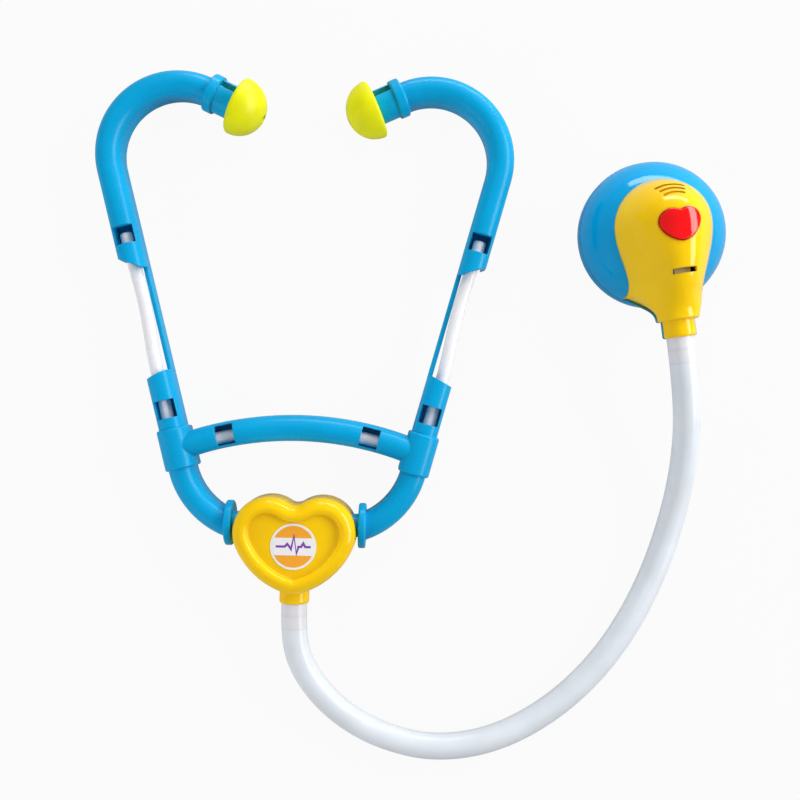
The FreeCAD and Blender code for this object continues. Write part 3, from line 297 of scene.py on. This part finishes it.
class Finish(Nodes):
    """One procedural material round a Principled shader."""

    def __init__(self, name):
        self.material = bpy.data.materials.new(name)
        self.material.use_nodes = True
        super().__init__(self.material.node_tree)
        self.shader = self.tree.nodes["Principled BSDF"]

    def place(self):
        """Where a point lies, in metres, in its piece's own frame."""
        return self.signal("ShaderNodeTexCoord", {}, {}, "Object")

    def noise(self, scale, detail=2.0, roughness=0.5):
        """Even noise about 0.5, at a scale per metre."""
        return self.signal("ShaderNodeTexNoise", {}, {"Vector": self.place(), "Scale": scale,
                                                      "Detail": detail, "Roughness": roughness}, "Fac")

    def near(self, point, low, high):
        """1 within a distance of a point, fading to 0."""
        reach = self.signal("ShaderNodeVectorMath", {"operation": "DISTANCE"},
                            {0: self.place(), 1: point}, "Value")
        return 1 - reach.ramp(low, high)

    def band(self, point, low, high, soft=0.0004):
        """1 between two distances from a point, with soft edges."""
        return self.near(point, high, high + soft) - self.near(point, low - soft, low)

    def mix(self, factor, first, second):
        """Colour that goes from first to second with the factor, by a Mix node's colour sockets."""
        start, end = [tint if isinstance(tint, Signal) else (*tint, 1.0) for tint in (first, second)]
        return self.signal("ShaderNodeMix", {"data_type": "RGBA"}, {0: factor, 6: start, 7: end}, output=2)

    def soft_edge(self, radius):
        """Normal rounded over the edges, and how near an edge a point lies."""
        rounded = self.signal("ShaderNodeBevel", {"samples": 6}, {"Radius": radius})
        flat = self.signal("ShaderNodeNewGeometry", {}, {}, "Normal")
        facing = self.signal("ShaderNodeVectorMath", {"operation": "DOT_PRODUCT"},
                             {0: rounded, 1: flat}, "Value")
        return rounded, (1 - facing).ramp(0.02, 0.3)

    def bump(self, height, strength, distance, normal=None):
        """Normal raised by a height signal."""
        inputs = {"Strength": strength, "Distance": distance, "Height": height}
        if normal:
            inputs["Normal"] = normal
        return self.signal("ShaderNodeBump", {}, inputs)

    def dress(self, **sockets):
        """Sets or links sockets of the shader, named with underscores for spaces."""
        for name, value in sockets.items():
            self.feed(self.shader.inputs[name.replace("_", " ")], value)
        return self.material


def scaled(tint, factor):
    """Colour made lighter or darker by a factor."""
    return tuple(min(1.0, part * factor) for part in tint)


def paler(tint, amount):
    """Colour taken some way to white."""
    return tuple(part + (1.0 - part) * amount for part in tint)


def moulding(name, tint, gloss, edge, shine):
    """Moulded plastic: faint flow clouds, fine grain, rounded edges, and a painted highlight that makes the
    edges paler.

    Gloss is the roughness about which it varies, edge the rounding of its edges, shine its specular level.
    """
    finish = Finish(name)
    clouds = finish.noise(scale=45.0, detail=3.0)
    rounded, rim = finish.soft_edge(edge)
    body = finish.mix(clouds.ramp(0.35, 0.7), scaled(tint, 0.95), scaled(tint, 1.03))
    # Paler edges: a painted highlight along the edges.
    painted_edge_highlight = finish.mix(rim * 0.25, body, paler(tint, 0.15))
    grain = finish.noise(scale=2600.0)
    return finish.dress(
        Base_Color=painted_edge_highlight,
        Roughness=gloss - 0.03 + finish.noise(scale=300.0, detail=3.0) * 0.08,
        Normal=finish.bump(grain, strength=0.25, distance=0.00001, normal=rounded),
        IOR=1.46,
        Specular_IOR_Level=shine,
    )


def rubber(name, tint):
    """Soft satin rubber with a little bloom, and a painted highlight that makes its edges paler."""
    finish = Finish(name)
    bloom = finish.noise(scale=120.0, detail=4.0)
    rounded, rim = finish.soft_edge(radius=0.0006)
    body = finish.mix(bloom.ramp(0.3, 0.75), scaled(tint, 0.93), scaled(tint, 1.04))
    return finish.dress(
        # Paler edges: a painted highlight along the edges.
        Base_Color=finish.mix(rim * 0.25, body, paler(tint, 0.2)),
        Roughness=0.36 + bloom * 0.12,
        Normal=finish.bump(finish.noise(scale=1500.0, detail=3.0), strength=0.3, distance=0.00002,
                           normal=rounded),
        Subsurface_Weight=0.12,
        Subsurface_Radius=(0.8, 0.8, 0.1),
        Subsurface_Scale=0.002,
        Specular_IOR_Level=0.4,
    )


def hose_vinyl(name, tint, grip_tint):
    """Milky vinyl: cloudy, smooth, and tinged over the plugs that it is pushed on."""
    finish = Finish(name)
    ports = (HOSE_ROUTE[0], HOSE_ROUTE[-1])
    gripped = sum(finish.near(port, GRIP_LENGTH, GRIP_LENGTH + GRIP_FADE) for port in ports)
    lip = sum(finish.band(port, LIP_AT, LIP_AT + LIP_WIDTH) for port in ports)
    barbs = sum(finish.band(port, low, low + BARB_WIDTH) for port in ports for low in BARBS_AT)
    clouds = finish.noise(scale=70.0, detail=3.0)
    body = finish.mix(clouds.ramp(0.3, 0.75), scaled(tint, 0.96), scaled(tint, 1.03))
    body = finish.mix(gripped * 0.6, body, grip_tint)
    body = finish.mix(lip * 0.35 + barbs * 0.2, body, scaled(tint, 0.7))
    return finish.dress(
        Base_Color=body,
        Roughness=0.27 + finish.noise(scale=220.0, detail=3.0) * 0.1,
        Normal=finish.bump(finish.noise(scale=400.0, detail=3.0), strength=0.12, distance=0.00004),
        Subsurface_Weight=0.12,
        Subsurface_Radius=(0.9, 0.95, 1.0),
        Subsurface_Scale=0.003,
    )


def core_plastic(name, tint):
    """Extruded white tube, smooth and faintly mottled."""
    finish = Finish(name)
    mottle = finish.noise(scale=500.0, detail=3.0)
    return finish.dress(
        Base_Color=finish.mix(mottle.ramp(0.3, 0.7), scaled(tint, 0.96), tint),
        Roughness=0.3 + mottle * 0.12,
        Normal=finish.bump(mottle, strength=0.1, distance=0.00002),
        Subsurface_Weight=0.15,
        Subsurface_Radius=(1.0, 1.0, 1.0),
        Subsurface_Scale=0.002,
    )


def printed(name, tint):
    """Glossy print on paper, with faint fibres."""
    finish = Finish(name)
    fibre = finish.noise(scale=900.0, detail=4.0, roughness=0.7)
    return finish.dress(
        Base_Color=finish.mix(fibre.ramp(0.3, 0.7), scaled(tint, 0.95), tint),
        Roughness=0.32 + fibre * 0.12,
        Normal=finish.bump(fibre, strength=0.1, distance=0.00001),
    )


def metal(name, tint, roughness):
    """Bare metal, finely tarnished, with softened edges."""
    finish = Finish(name)
    tarnish = finish.noise(scale=1800.0, detail=4.0, roughness=0.7)
    rounded = finish.soft_edge(radius=0.0002)[0]
    return finish.dress(
        Base_Color=finish.mix(tarnish.ramp(0.3, 0.7), scaled(tint, 0.85), tint),
        Metallic=1.0,
        Roughness=roughness + tarnish * 0.15,
        Normal=rounded,
    )


def inner_matter(name, tint, roughness):
    """Stuff of an inner piece: plug, card, board or soft silicone, lightly mottled."""
    finish = Finish(name)
    mottle = finish.noise(scale=600.0, detail=3.0)
    return finish.dress(
        Base_Color=finish.mix(mottle.ramp(0.3, 0.7), scaled(tint, 0.8), tint),
        Roughness=roughness + mottle * 0.1,
    )


def lens(name):
    """Clear red-tinged lens of the indicator."""
    finish = Finish(name)
    cloud = finish.noise(scale=400.0)
    return finish.dress(
        Base_Color=finish.mix(cloud, (0.9, 0.75, 0.72), (0.98, 0.9, 0.88)),
        Roughness=0.08 + cloud * 0.05,
        Transmission_Weight=0.6,
        IOR=1.5,
    )


def cover(node, material):
    """Gives a carried-over node its finish."""
    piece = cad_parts[node]
    piece.data.materials.clear()
    piece.data.materials.append(material)


def linked(name, data):
    """Object of that data, in the scene."""
    piece = bpy.data.objects.new(name, data)
    bpy.context.scene.collection.objects.link(piece)
    return piece


def from_bmesh(name, shape, smooth_angle=None):
    """Mesh object from a bmesh, with its normals outwards and its soft faces smooth."""
    bmesh.ops.recalc_face_normals(shape, faces=shape.faces)
    mesh = bpy.data.meshes.new(name)
    shape.to_mesh(mesh)
    shape.free()
    if smooth_angle is not None:
        mesh.polygons.foreach_set("use_smooth", [True] * len(mesh.polygons))
        mesh.set_sharp_from_angle(angle=smooth_angle)
    return linked(name, mesh)


def split_faces(piece):
    """Splits each face in four where it lies."""
    split = piece.modifiers.new("split_faces", "SUBSURF")
    split.subdivision_type = "SIMPLE"
    split.levels = 1
    split.render_levels = 1


def on_arm(sizes, side, along, across=0.0, height=0.0):
    """Point of an arm: along it from the collar, across it away from the head, and over its middle plane."""
    run = Vector((math.sin(sizes.arm_lean), math.cos(sizes.arm_lean)))
    out = Vector((math.cos(sizes.arm_lean), -math.sin(sizes.arm_lean)))
    flat = Vector((sizes.collar_x, sizes.collar_y)) + run * along + out * across
    return Vector((side * flat.x, flat.y, sizes.arm_height + height))


def ring_sweep(rows, capped=True):
    """Skin through rows of points, each a closed ring, with both end rows capped or left open."""
    shape = bmesh.new()
    rings = [[shape.verts.new(point) for point in row] for row in rows]
    count = len(rings[0])
    for low, high in zip(rings, rings[1:]):
        for index in range(count):
            after = (index + 1) % count
            shape.faces.new((low[index], low[after], high[after], high[index]))
    if capped:
        shape.faces.new(rings[0])
        shape.faces.new(rings[-1])
    return shape


def steps(low, high, count):
    """Even steps from low to high, with both."""
    return [low + (high - low) * index / count for index in range(count + 1)]


def circle(count):
    """Angles of even steps round a circle."""
    return [2 * math.pi * index / count for index in range(count)]


def leaf_outline(sizes):
    """Section of a leaf, across and height: the back half of the channel's inner wall, a skin proud."""
    outer = sizes.channel_half + sizes.leaf_proud
    inner = sizes.channel_half - sizes.channel_wall - sizes.leaf_proud
    low = -sizes.channel_depth - sizes.leaf_proud
    bend = sizes.leaf_round
    turns = steps(0.0, math.pi / 2, 5)
    far = [(bend - outer - bend * math.cos(turn), bend * math.sin(turn) - bend) for turn in turns]
    near = [(bend * math.sin(turn) - inner - bend, bend * math.cos(turn) - bend) for turn in turns]
    return [(-outer, height) for height in steps(low, -bend, 6)[:-1]] + far + near + [
        (-inner, height) for height in steps(-bend, low, 6)[1:]]


def core_line(sizes, along):
    """How far across its arm a core tube lies: by the outer wall below, nearer the leaf beside it."""
    part = (along - sizes.leaf_start) / (sizes.leaf_end - sizes.leaf_start)
    nearest = 0.72
    way_back = 0.6
    swing = 1.95
    inwards = smooth(part / nearest)
    back = smooth((part - nearest) / way_back)
    return sizes.core_shift * (1.0 - swing * inwards + back)


def smooth(part):
    """Smooth step from 0 to 1."""
    held = min(1.0, max(0.0, part))
    return held * held * (3.0 - 2.0 * held)


def ribbon(points, width):
    """Pairs of edge points of a flat strip along a broken line, with its sharp corners held in."""
    corner_limit = 2.2
    edges = []
    count = len(points)
    for index, point in enumerate(points):
        before = (point - points[index - 1]).normalized() if index else None
        after = (points[index + 1] - point).normalized() if index + 1 < count else None
        heading = before or after
        spread = 1.0
        if before and after:
            heading = (before + after).normalized()
            spread = 1.0 / max(heading.dot(after), 1.0 / corner_limit)
        normal = Vector((-heading.y, heading.x)) * (width / 2 * spread)
        edges.append((point + normal, point - normal))
    return edges


class STETHOSCOPE_OT_stage(bpy.types.Operator):
    """Pale floor, soft lamps and the camera over the table"""
    bl_idname = "stethoscope.stage"
    bl_label = "Stage"

    def execute(self, context):
        stage = context.scene.stethoscope_stage
        colours = context.scene.stethoscope_colours
        view = bpy.data.cameras.new("camera")
        view.lens = stage.lens
        view.sensor_width = 36.0
        camera = linked("camera", view)
        camera.location = stage.eye
        camera.rotation_euler = (0.0, 0.0, stage.turn)
        context.scene.camera = camera
        context.scene.view_settings.view_transform = "Standard"
        self.floor(stage, colours)
        for name, place, width, height, mirrored in LAMPS:
            lamp = self.lamp(name + "_lamp", getattr(stage, name), place, width, height)
            lamp.visible_glossy = mirrored
        self.sky(stage)
        return {"FINISHED"}

    def floor(self, stage, colours):
        """Pale floor that keeps the shadow and fades to white away from the toy."""
        half = stage.floor_size / 2
        shape = bmesh.new()
        corners = [(x * half, y * half, -stage.floor_drop) for x, y in ((-1, -1), (1, -1), (1, 1), (-1, 1))]
        shape.faces.new([shape.verts.new(corner) for corner in corners])
        floor = from_bmesh("floor", shape)
        finish = Finish("floor_paper")
        grain = finish.noise(scale=60.0, detail=4.0)
        paper = finish.dress(
            Base_Color=finish.mix(grain, scaled(colours.floor, 0.985), colours.floor),
            Roughness=0.85,
            Specular_IOR_Level=0.1,
        )
        white = finish.node("ShaderNodeEmission", {}, {"Color": WHITE, "Strength": 1.0})
        far = 1 - finish.near((*TOY_MIDDLE.xy, 0.0), stage.fade_start, stage.fade_end)
        share = finish.white_share(stage.floor_white + far * (1.0 - stage.floor_white), stage.mirror_white)
        finish.shade(share, finish.shader, white, "Material Output")
        floor.data.materials.append(paper)

    def lamp(self, name, power, place, width, height):
        """Soft box that faces the middle of the toy."""
        light = bpy.data.lights.new(name, "AREA")
        light.shape = "RECTANGLE"
        light.energy = power
        light.size = width
        light.size_y = height
        lamp = linked(name, light)
        lamp.location = place
        lamp.rotation_euler = (TOY_MIDDLE - Vector(place)).to_track_quat("-Z", "Y").to_euler()
        return lamp

    def sky(self, stage):
        """Even light all round, with white behind the toy."""
        world = bpy.data.worlds.new("studio")
        world.use_nodes = True
        nodes = Nodes(world.node_tree)
        white, level = [nodes.node("ShaderNodeBackground", {}, {"Color": WHITE, "Strength": strength})
                        for strength in (1.0, stage.sky)]
        nodes.shade(nodes.white_share(1.0, stage.mirror_white), level, white, "World Output")
        bpy.context.scene.world = world


class STETHOSCOPE_OT_hose(bpy.types.Operator):
    """Milky hose in one smooth curve from the heart to the chestpiece"""
    bl_idname = "stethoscope.hose"
    bl_label = "Hose"

    def execute(self, context):
        sizes = context.scene.stethoscope_shapes
        colours = context.scene.stethoscope_colours
        curve = bpy.data.curves.new("hose_line", "CURVE")
        curve.dimensions = "3D"
        spline = curve.splines.new("NURBS")
        spline.points.add(len(HOSE_ROUTE) - 1)
        for point, place in zip(spline.points, HOSE_ROUTE):
            point.co = (*place, 1.0)
        spline.order_u = 3
        spline.use_endpoint_u = True
        spline.resolution_u = 10
        curve.bevel_depth = sizes.hose_radius
        curve.bevel_resolution = 10
        curve.use_fill_caps = True
        curve.materials.append(hose_vinyl("hose_vinyl", colours.hose, colours.hose_grip))
        hose = linked("hose_line", curve)
        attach(hose, ROOT)
        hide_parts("hose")
        return {"FINISHED"}


class STETHOSCOPE_OT_mouldings(bpy.types.Operator):
    """Finishes of the blue, yellow and red mouldings"""
    bl_idname = "stethoscope.mouldings"
    bl_label = "Mouldings"

    def execute(self, context):
        colours = context.scene.stethoscope_colours
        arms = moulding("blue_arm_moulding", colours.blue, gloss=0.27, edge=0.0007, shine=0.24)
        bell = moulding("blue_bell_moulding", colours.bell, gloss=0.08, edge=0.0006, shine=0.36)
        heart = moulding("yellow_heart_moulding", colours.yellow, gloss=0.11, edge=0.0012, shine=0.4)
        button = moulding("red_button_moulding", colours.red, gloss=0.06, edge=0.0007, shine=0.6)
        for node in ("yoke", "right_elbow", "left_elbow", "right_arm_sleeve", "left_arm_sleeve",
                     "right_ear_tube", "left_ear_tube"):
            cover(node, arms)
        for node in ("bell", "base_plate", "battery_door"):
            cover(node, bell)
        for node in ("heart_front_shell", "heart_back_shell", "chest_housing"):
            cover(node, heart)
        cover("heart_button", button)
        return {"FINISHED"}


class STETHOSCOPE_OT_ear_tips(bpy.types.Operator):
    """Finish of the soft ear tips"""
    bl_idname = "stethoscope.ear_tips"
    bl_label = "Ear Tips"

    def execute(self, context):
        soft = rubber("ear_tip_rubber", context.scene.stethoscope_colours.tip)
        for name, _ in SIDES:
            cover(name + "_ear_tip", soft)
        return {"FINISHED"}


class STETHOSCOPE_OT_leaves(bpy.types.Operator):
    """Thin leaves of the arms"""
    bl_idname = "stethoscope.leaves"
    bl_label = "Leaves"

    def execute(self, context):
        sizes = context.scene.stethoscope_shapes
        material = bpy.data.materials["blue_arm_moulding"]
        outline = leaf_outline(sizes)
        runs = steps(sizes.leaf_start - sizes.leaf_lap, sizes.leaf_end + sizes.leaf_lap, 36)
        for name, side in SIDES:
            rows = [[on_arm(sizes, side, along, *spot) for spot in outline] for along in runs]
            leaf = from_bmesh(name + "_leaf", ring_sweep(rows), math.radians(30.0))
            leaf.data.materials.append(material)
            split_faces(leaf)
            on_arm(sizes, side, sizes.leaf_start)
            on_arm(sizes, side, sizes.leaf_end)
            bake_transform(leaf)
            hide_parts(name + "_flex_strip")
        return {"FINISHED"}


class STETHOSCOPE_OT_core_tubes(bpy.types.Operator):
    """White core tubes that show in the windows and beside the leaves"""
    bl_idname = "stethoscope.core_tubes"
    bl_label = "Core Tubes"

    def execute(self, context):
        sizes = context.scene.stethoscope_shapes
        material = core_plastic("core_tube_plastic", context.scene.stethoscope_colours.core)
        cover("crossbar_core_tube", material)
        turns = circle(32)
        bend = sizes.core_round
        runs = [(along, 0.0) for along in steps(sizes.core_start, sizes.core_end - bend, 40)]
        runs += [(sizes.core_end - bend + bend * math.sin(turn), bend - bend * math.cos(turn))
                 for turn in steps(0.0, math.pi / 2, 4)[1:]]
        for name, side in SIDES:
            outer = [self.ring(sizes, side, along, sizes.core_radius - cut, turns) for along, cut in runs]
            inner = [self.ring(sizes, side, along, sizes.core_bore, turns) for along, _ in runs]
            rows = outer + inner[::-1] + outer[:1]
            shape = ring_sweep(rows, capped=False)
            bmesh.ops.remove_doubles(shape, verts=shape.verts, dist=1e-7)
            core = from_bmesh(name + "_core", shape, math.radians(40.0))
            core.data.materials.append(material)
            split_faces(core)
            on_arm(sizes, side, sizes.leaf_start)
            on_arm(sizes, side, sizes.leaf_end)
            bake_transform(core)
            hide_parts(name + "_core_tube")
        return {"FINISHED"}

    def ring(self, sizes, side, along, radius, turns):
        """Ring of a core tube round its line."""
        middle = core_line(sizes, along)
        return [on_arm(sizes, side, along, middle + math.cos(turn) * radius, math.sin(turn) * radius)
                for turn in turns]


class STETHOSCOPE_OT_label(bpy.types.Operator):
    """Round label on the heart, with a white edge, a warm field and a pulse line"""
    bl_idname = "stethoscope.label"
    bl_label = "Label"

    def execute(self, context):
        sizes = context.scene.stethoscope_shapes
        colours = context.scene.stethoscope_colours
        cover("heart_label", printed("label_paper", colours.paper))
        low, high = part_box("heart_label")
        middle = Vector(((low.x + high.x) / 2, (low.y + high.y) / 2))
        radius = (high.x - low.x) / 2 * sizes.field_share
        turns = circle(96)
        disc = [middle + Vector((math.cos(turn), math.sin(turn))) * radius for turn in turns]
        self.layer("label_field", [disc], high.z, sizes.print_height,
                   printed("label_field_print", colours.field))
        half = math.asin(sizes.band_share)
        band = [middle + Vector((math.cos(turn), math.sin(turn))) * radius
                for turn in steps(-half, half, 20) + steps(math.pi - half, math.pi + half, 20)]
        self.layer("label_band", [band], high.z + sizes.print_height, sizes.print_height,
                   bpy.data.materials["label_paper"])
        line = [middle + Vector(spot) * radius for spot in PULSE]
        edges = ribbon(line, sizes.pulse_width)
        quads = [[near[0], near[1], far[1], far[0]] for near, far in zip(edges, edges[1:])]
        self.layer("label_pulse", quads, high.z + sizes.print_height * 2, sizes.print_height,
                   printed("label_pulse_print", colours.pulse))
        return {"FINISHED"}

    def layer(self, name, outlines, base, height, material):
        """Thin printed layer from flat outlines."""
        shape = bmesh.new()
        for outline in outlines:
            shape.faces.new([shape.verts.new((spot.x, spot.y, base)) for spot in outline])
        bmesh.ops.remove_doubles(shape, verts=shape.verts, dist=1e-7)
        raised = bmesh.ops.extrude_face_region(shape, geom=shape.faces[:])["geom"]
        tops = [part for part in raised if isinstance(part, bmesh.types.BMVert)]
        bmesh.ops.translate(shape, verts=tops, vec=(0.0, 0.0, height))
        piece = from_bmesh(name, shape)
        piece.data.materials.append(material)
        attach(piece, ROOT)


class STETHOSCOPE_OT_slot_screen(bpy.types.Operator):
    """Thin yellow web that backs the sound slots"""
    bl_idname = "stethoscope.slot_screen"
    bl_label = "Slot Screen"

    def execute(self, context):
        sizes = context.scene.stethoscope_shapes
        rows = [self.row(sizes, turn) for turn in steps(-sizes.screen_half_turn, sizes.screen_half_turn, 24)]
        screen = from_bmesh("slot_screen", ring_sweep(rows), math.radians(40.0))
        screen.data.materials.append(bpy.data.materials["yellow_heart_moulding"])
        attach(screen, ROOT)
        return {"FINISHED"}

    def row(self, sizes, turn):
        """Section of the web at one turn about the crown's axis: upper side out, lower side back."""
        heading = Vector((-math.sin(turn + sizes.chest_turn), math.cos(turn + sizes.chest_turn)))
        reaches = steps(sizes.screen_near, sizes.screen_far, 12)
        sides = [(reach, sizes.screen_depth) for reach in reaches]
        sides += [(reach, sizes.screen_depth + sizes.screen_thickness) for reach in reversed(reaches)]
        spots = []
        for reach, depth in sides:
            place = Vector((sizes.chest_x, sizes.chest_y)) + heading * reach
            rise = math.sqrt(1.0 - (reach / (sizes.crown_radius - depth)) ** 2)
            height = sizes.crown_base + (sizes.crown_top - depth - sizes.crown_base) * rise
            spots.append(Vector((place.x, place.y, height)))
        return spots


class STETHOSCOPE_OT_rubber_dome(bpy.types.Operator):
    """Rubber dome under the heart button"""
    bl_idname = "stethoscope.rubber_dome"
    bl_label = "Rubber Dome"

    def execute(self, context):
        sizes = context.scene.stethoscope_shapes
        low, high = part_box("rubber_dome")
        foot = Vector(((low.x + high.x) / 2, (low.y + high.y) / 2, low.z))
        turns = circle(40)
        rows = [[foot + Vector((math.cos(turn) * radius, math.sin(turn) * radius, rise)) for turn in turns]
                for radius, rise in self.profile(sizes, high.z - low.z)]
        dome = from_bmesh("dome", ring_sweep(rows), math.radians(40.0))
        dome.data.materials.append(inner_matter("dome_silicone", (0.5, 0.5, 0.52), roughness=0.5))
        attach(dome, ROOT)
        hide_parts("rubber_dome")
        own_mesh(dome)
        return {"FINISHED"}

    def profile(self, sizes, height):
        """Radius and rise of the dome's outline, from its foot to its head."""
        bend = sizes.dome_round
        turns = steps(0.0, math.pi / 2, 4)
        foot = [(sizes.dome_foot - bend + bend * math.cos(turn),
                 sizes.dome_foot_height - bend + bend * math.sin(turn)) for turn in turns]
        head = [(sizes.dome_head - bend + bend * math.cos(turn),
                 height - bend + bend * math.sin(turn)) for turn in turns]
        return [(sizes.dome_foot, 0.0)] + foot + [(sizes.dome_waist, sizes.dome_foot_height)] + head


class STETHOSCOPE_OT_inner_pieces(bpy.types.Operator):
    """Finishes of the screws, plugs, cells and other inner pieces"""
    bl_idname = "stethoscope.inner_pieces"
    bl_label = "Inner Pieces"

    def execute(self, context):
        steel = metal("screw_steel", (0.62, 0.62, 0.64), roughness=0.28)
        for node in ("heart_screws", "chest_screws", "base_plate_screws", "battery_door_screw",
                     "battery_contacts", "button_cells"):
            cover(node, steel)
        cover("contact_strip", metal("contact_brass", (1.0, 0.78, 0.42), roughness=0.34))
        plug = inner_matter("plug_plastic_white", (0.8, 0.78, 0.8), roughness=0.4)
        cover("heart_hose_plug", plug)
        cover("chest_hose_plug", plug)
        cover("circuit_board", inner_matter("board_green", (0.03, 0.16, 0.06), roughness=0.45))
        cover("speaker", inner_matter("speaker_card", (0.02, 0.02, 0.02), roughness=0.6))
        cover("indicator_led", lens("indicator_lens"))
        return {"FINISHED"}


OPERATORS = (
    STETHOSCOPE_OT_stage,
    STETHOSCOPE_OT_hose,
    STETHOSCOPE_OT_mouldings,
    STETHOSCOPE_OT_ear_tips,
    STETHOSCOPE_OT_leaves,
    STETHOSCOPE_OT_core_tubes,
    STETHOSCOPE_OT_label,
    STETHOSCOPE_OT_slot_screen,
    STETHOSCOPE_OT_rubber_dome,
    STETHOSCOPE_OT_inner_pieces,
)


class STETHOSCOPE_PT_pieces(bpy.types.Panel):
    """Pieces of the toy stethoscope"""
    bl_idname = "STETHOSCOPE_PT_pieces"
    bl_label = "Toy Stethoscope"
    bl_space_type = "VIEW_3D"
    bl_region_type = "UI"
    bl_category = "Stethoscope"

    def draw(self, context):
        for operator in OPERATORS:
            self.layout.operator(operator.bl_idname)


GROUPS = (
    ("stethoscope_shapes", StethoscopeShapes),
    ("stethoscope_colours", StethoscopeColours),
    ("stethoscope_stage", StethoscopeStage),
)


def register():
    for name, group in GROUPS:
        bpy.utils.register_class(group)
        setattr(bpy.types.Scene, name, PointerProperty(type=group))
    for operator in OPERATORS:
        bpy.utils.register_class(operator)
    bpy.utils.register_class(STETHOSCOPE_PT_pieces)


def unregister():
    bpy.utils.unregister_class(STETHOSCOPE_PT_pieces)
    for operator in reversed(OPERATORS):
        bpy.utils.unregister_class(operator)
    for name, group in reversed(GROUPS):
        delattr(bpy.types.Scene, name)
        bpy.utils.unregister_class(group)


def main():
    register()
    bpy.ops.stethoscope.stage()
    bpy.ops.stethoscope.hose()
    bpy.ops.stethoscope.mouldings()
    bpy.ops.stethoscope.ear_tips()
    bpy.ops.stethoscope.leaves()
    bpy.ops.stethoscope.core_tubes()
    bpy.ops.stethoscope.label()
    bpy.ops.stethoscope.slot_screen()
    bpy.ops.stethoscope.rubber_dome()
    bpy.ops.stethoscope.inner_pieces()


if __name__ == "__main__":
    main()
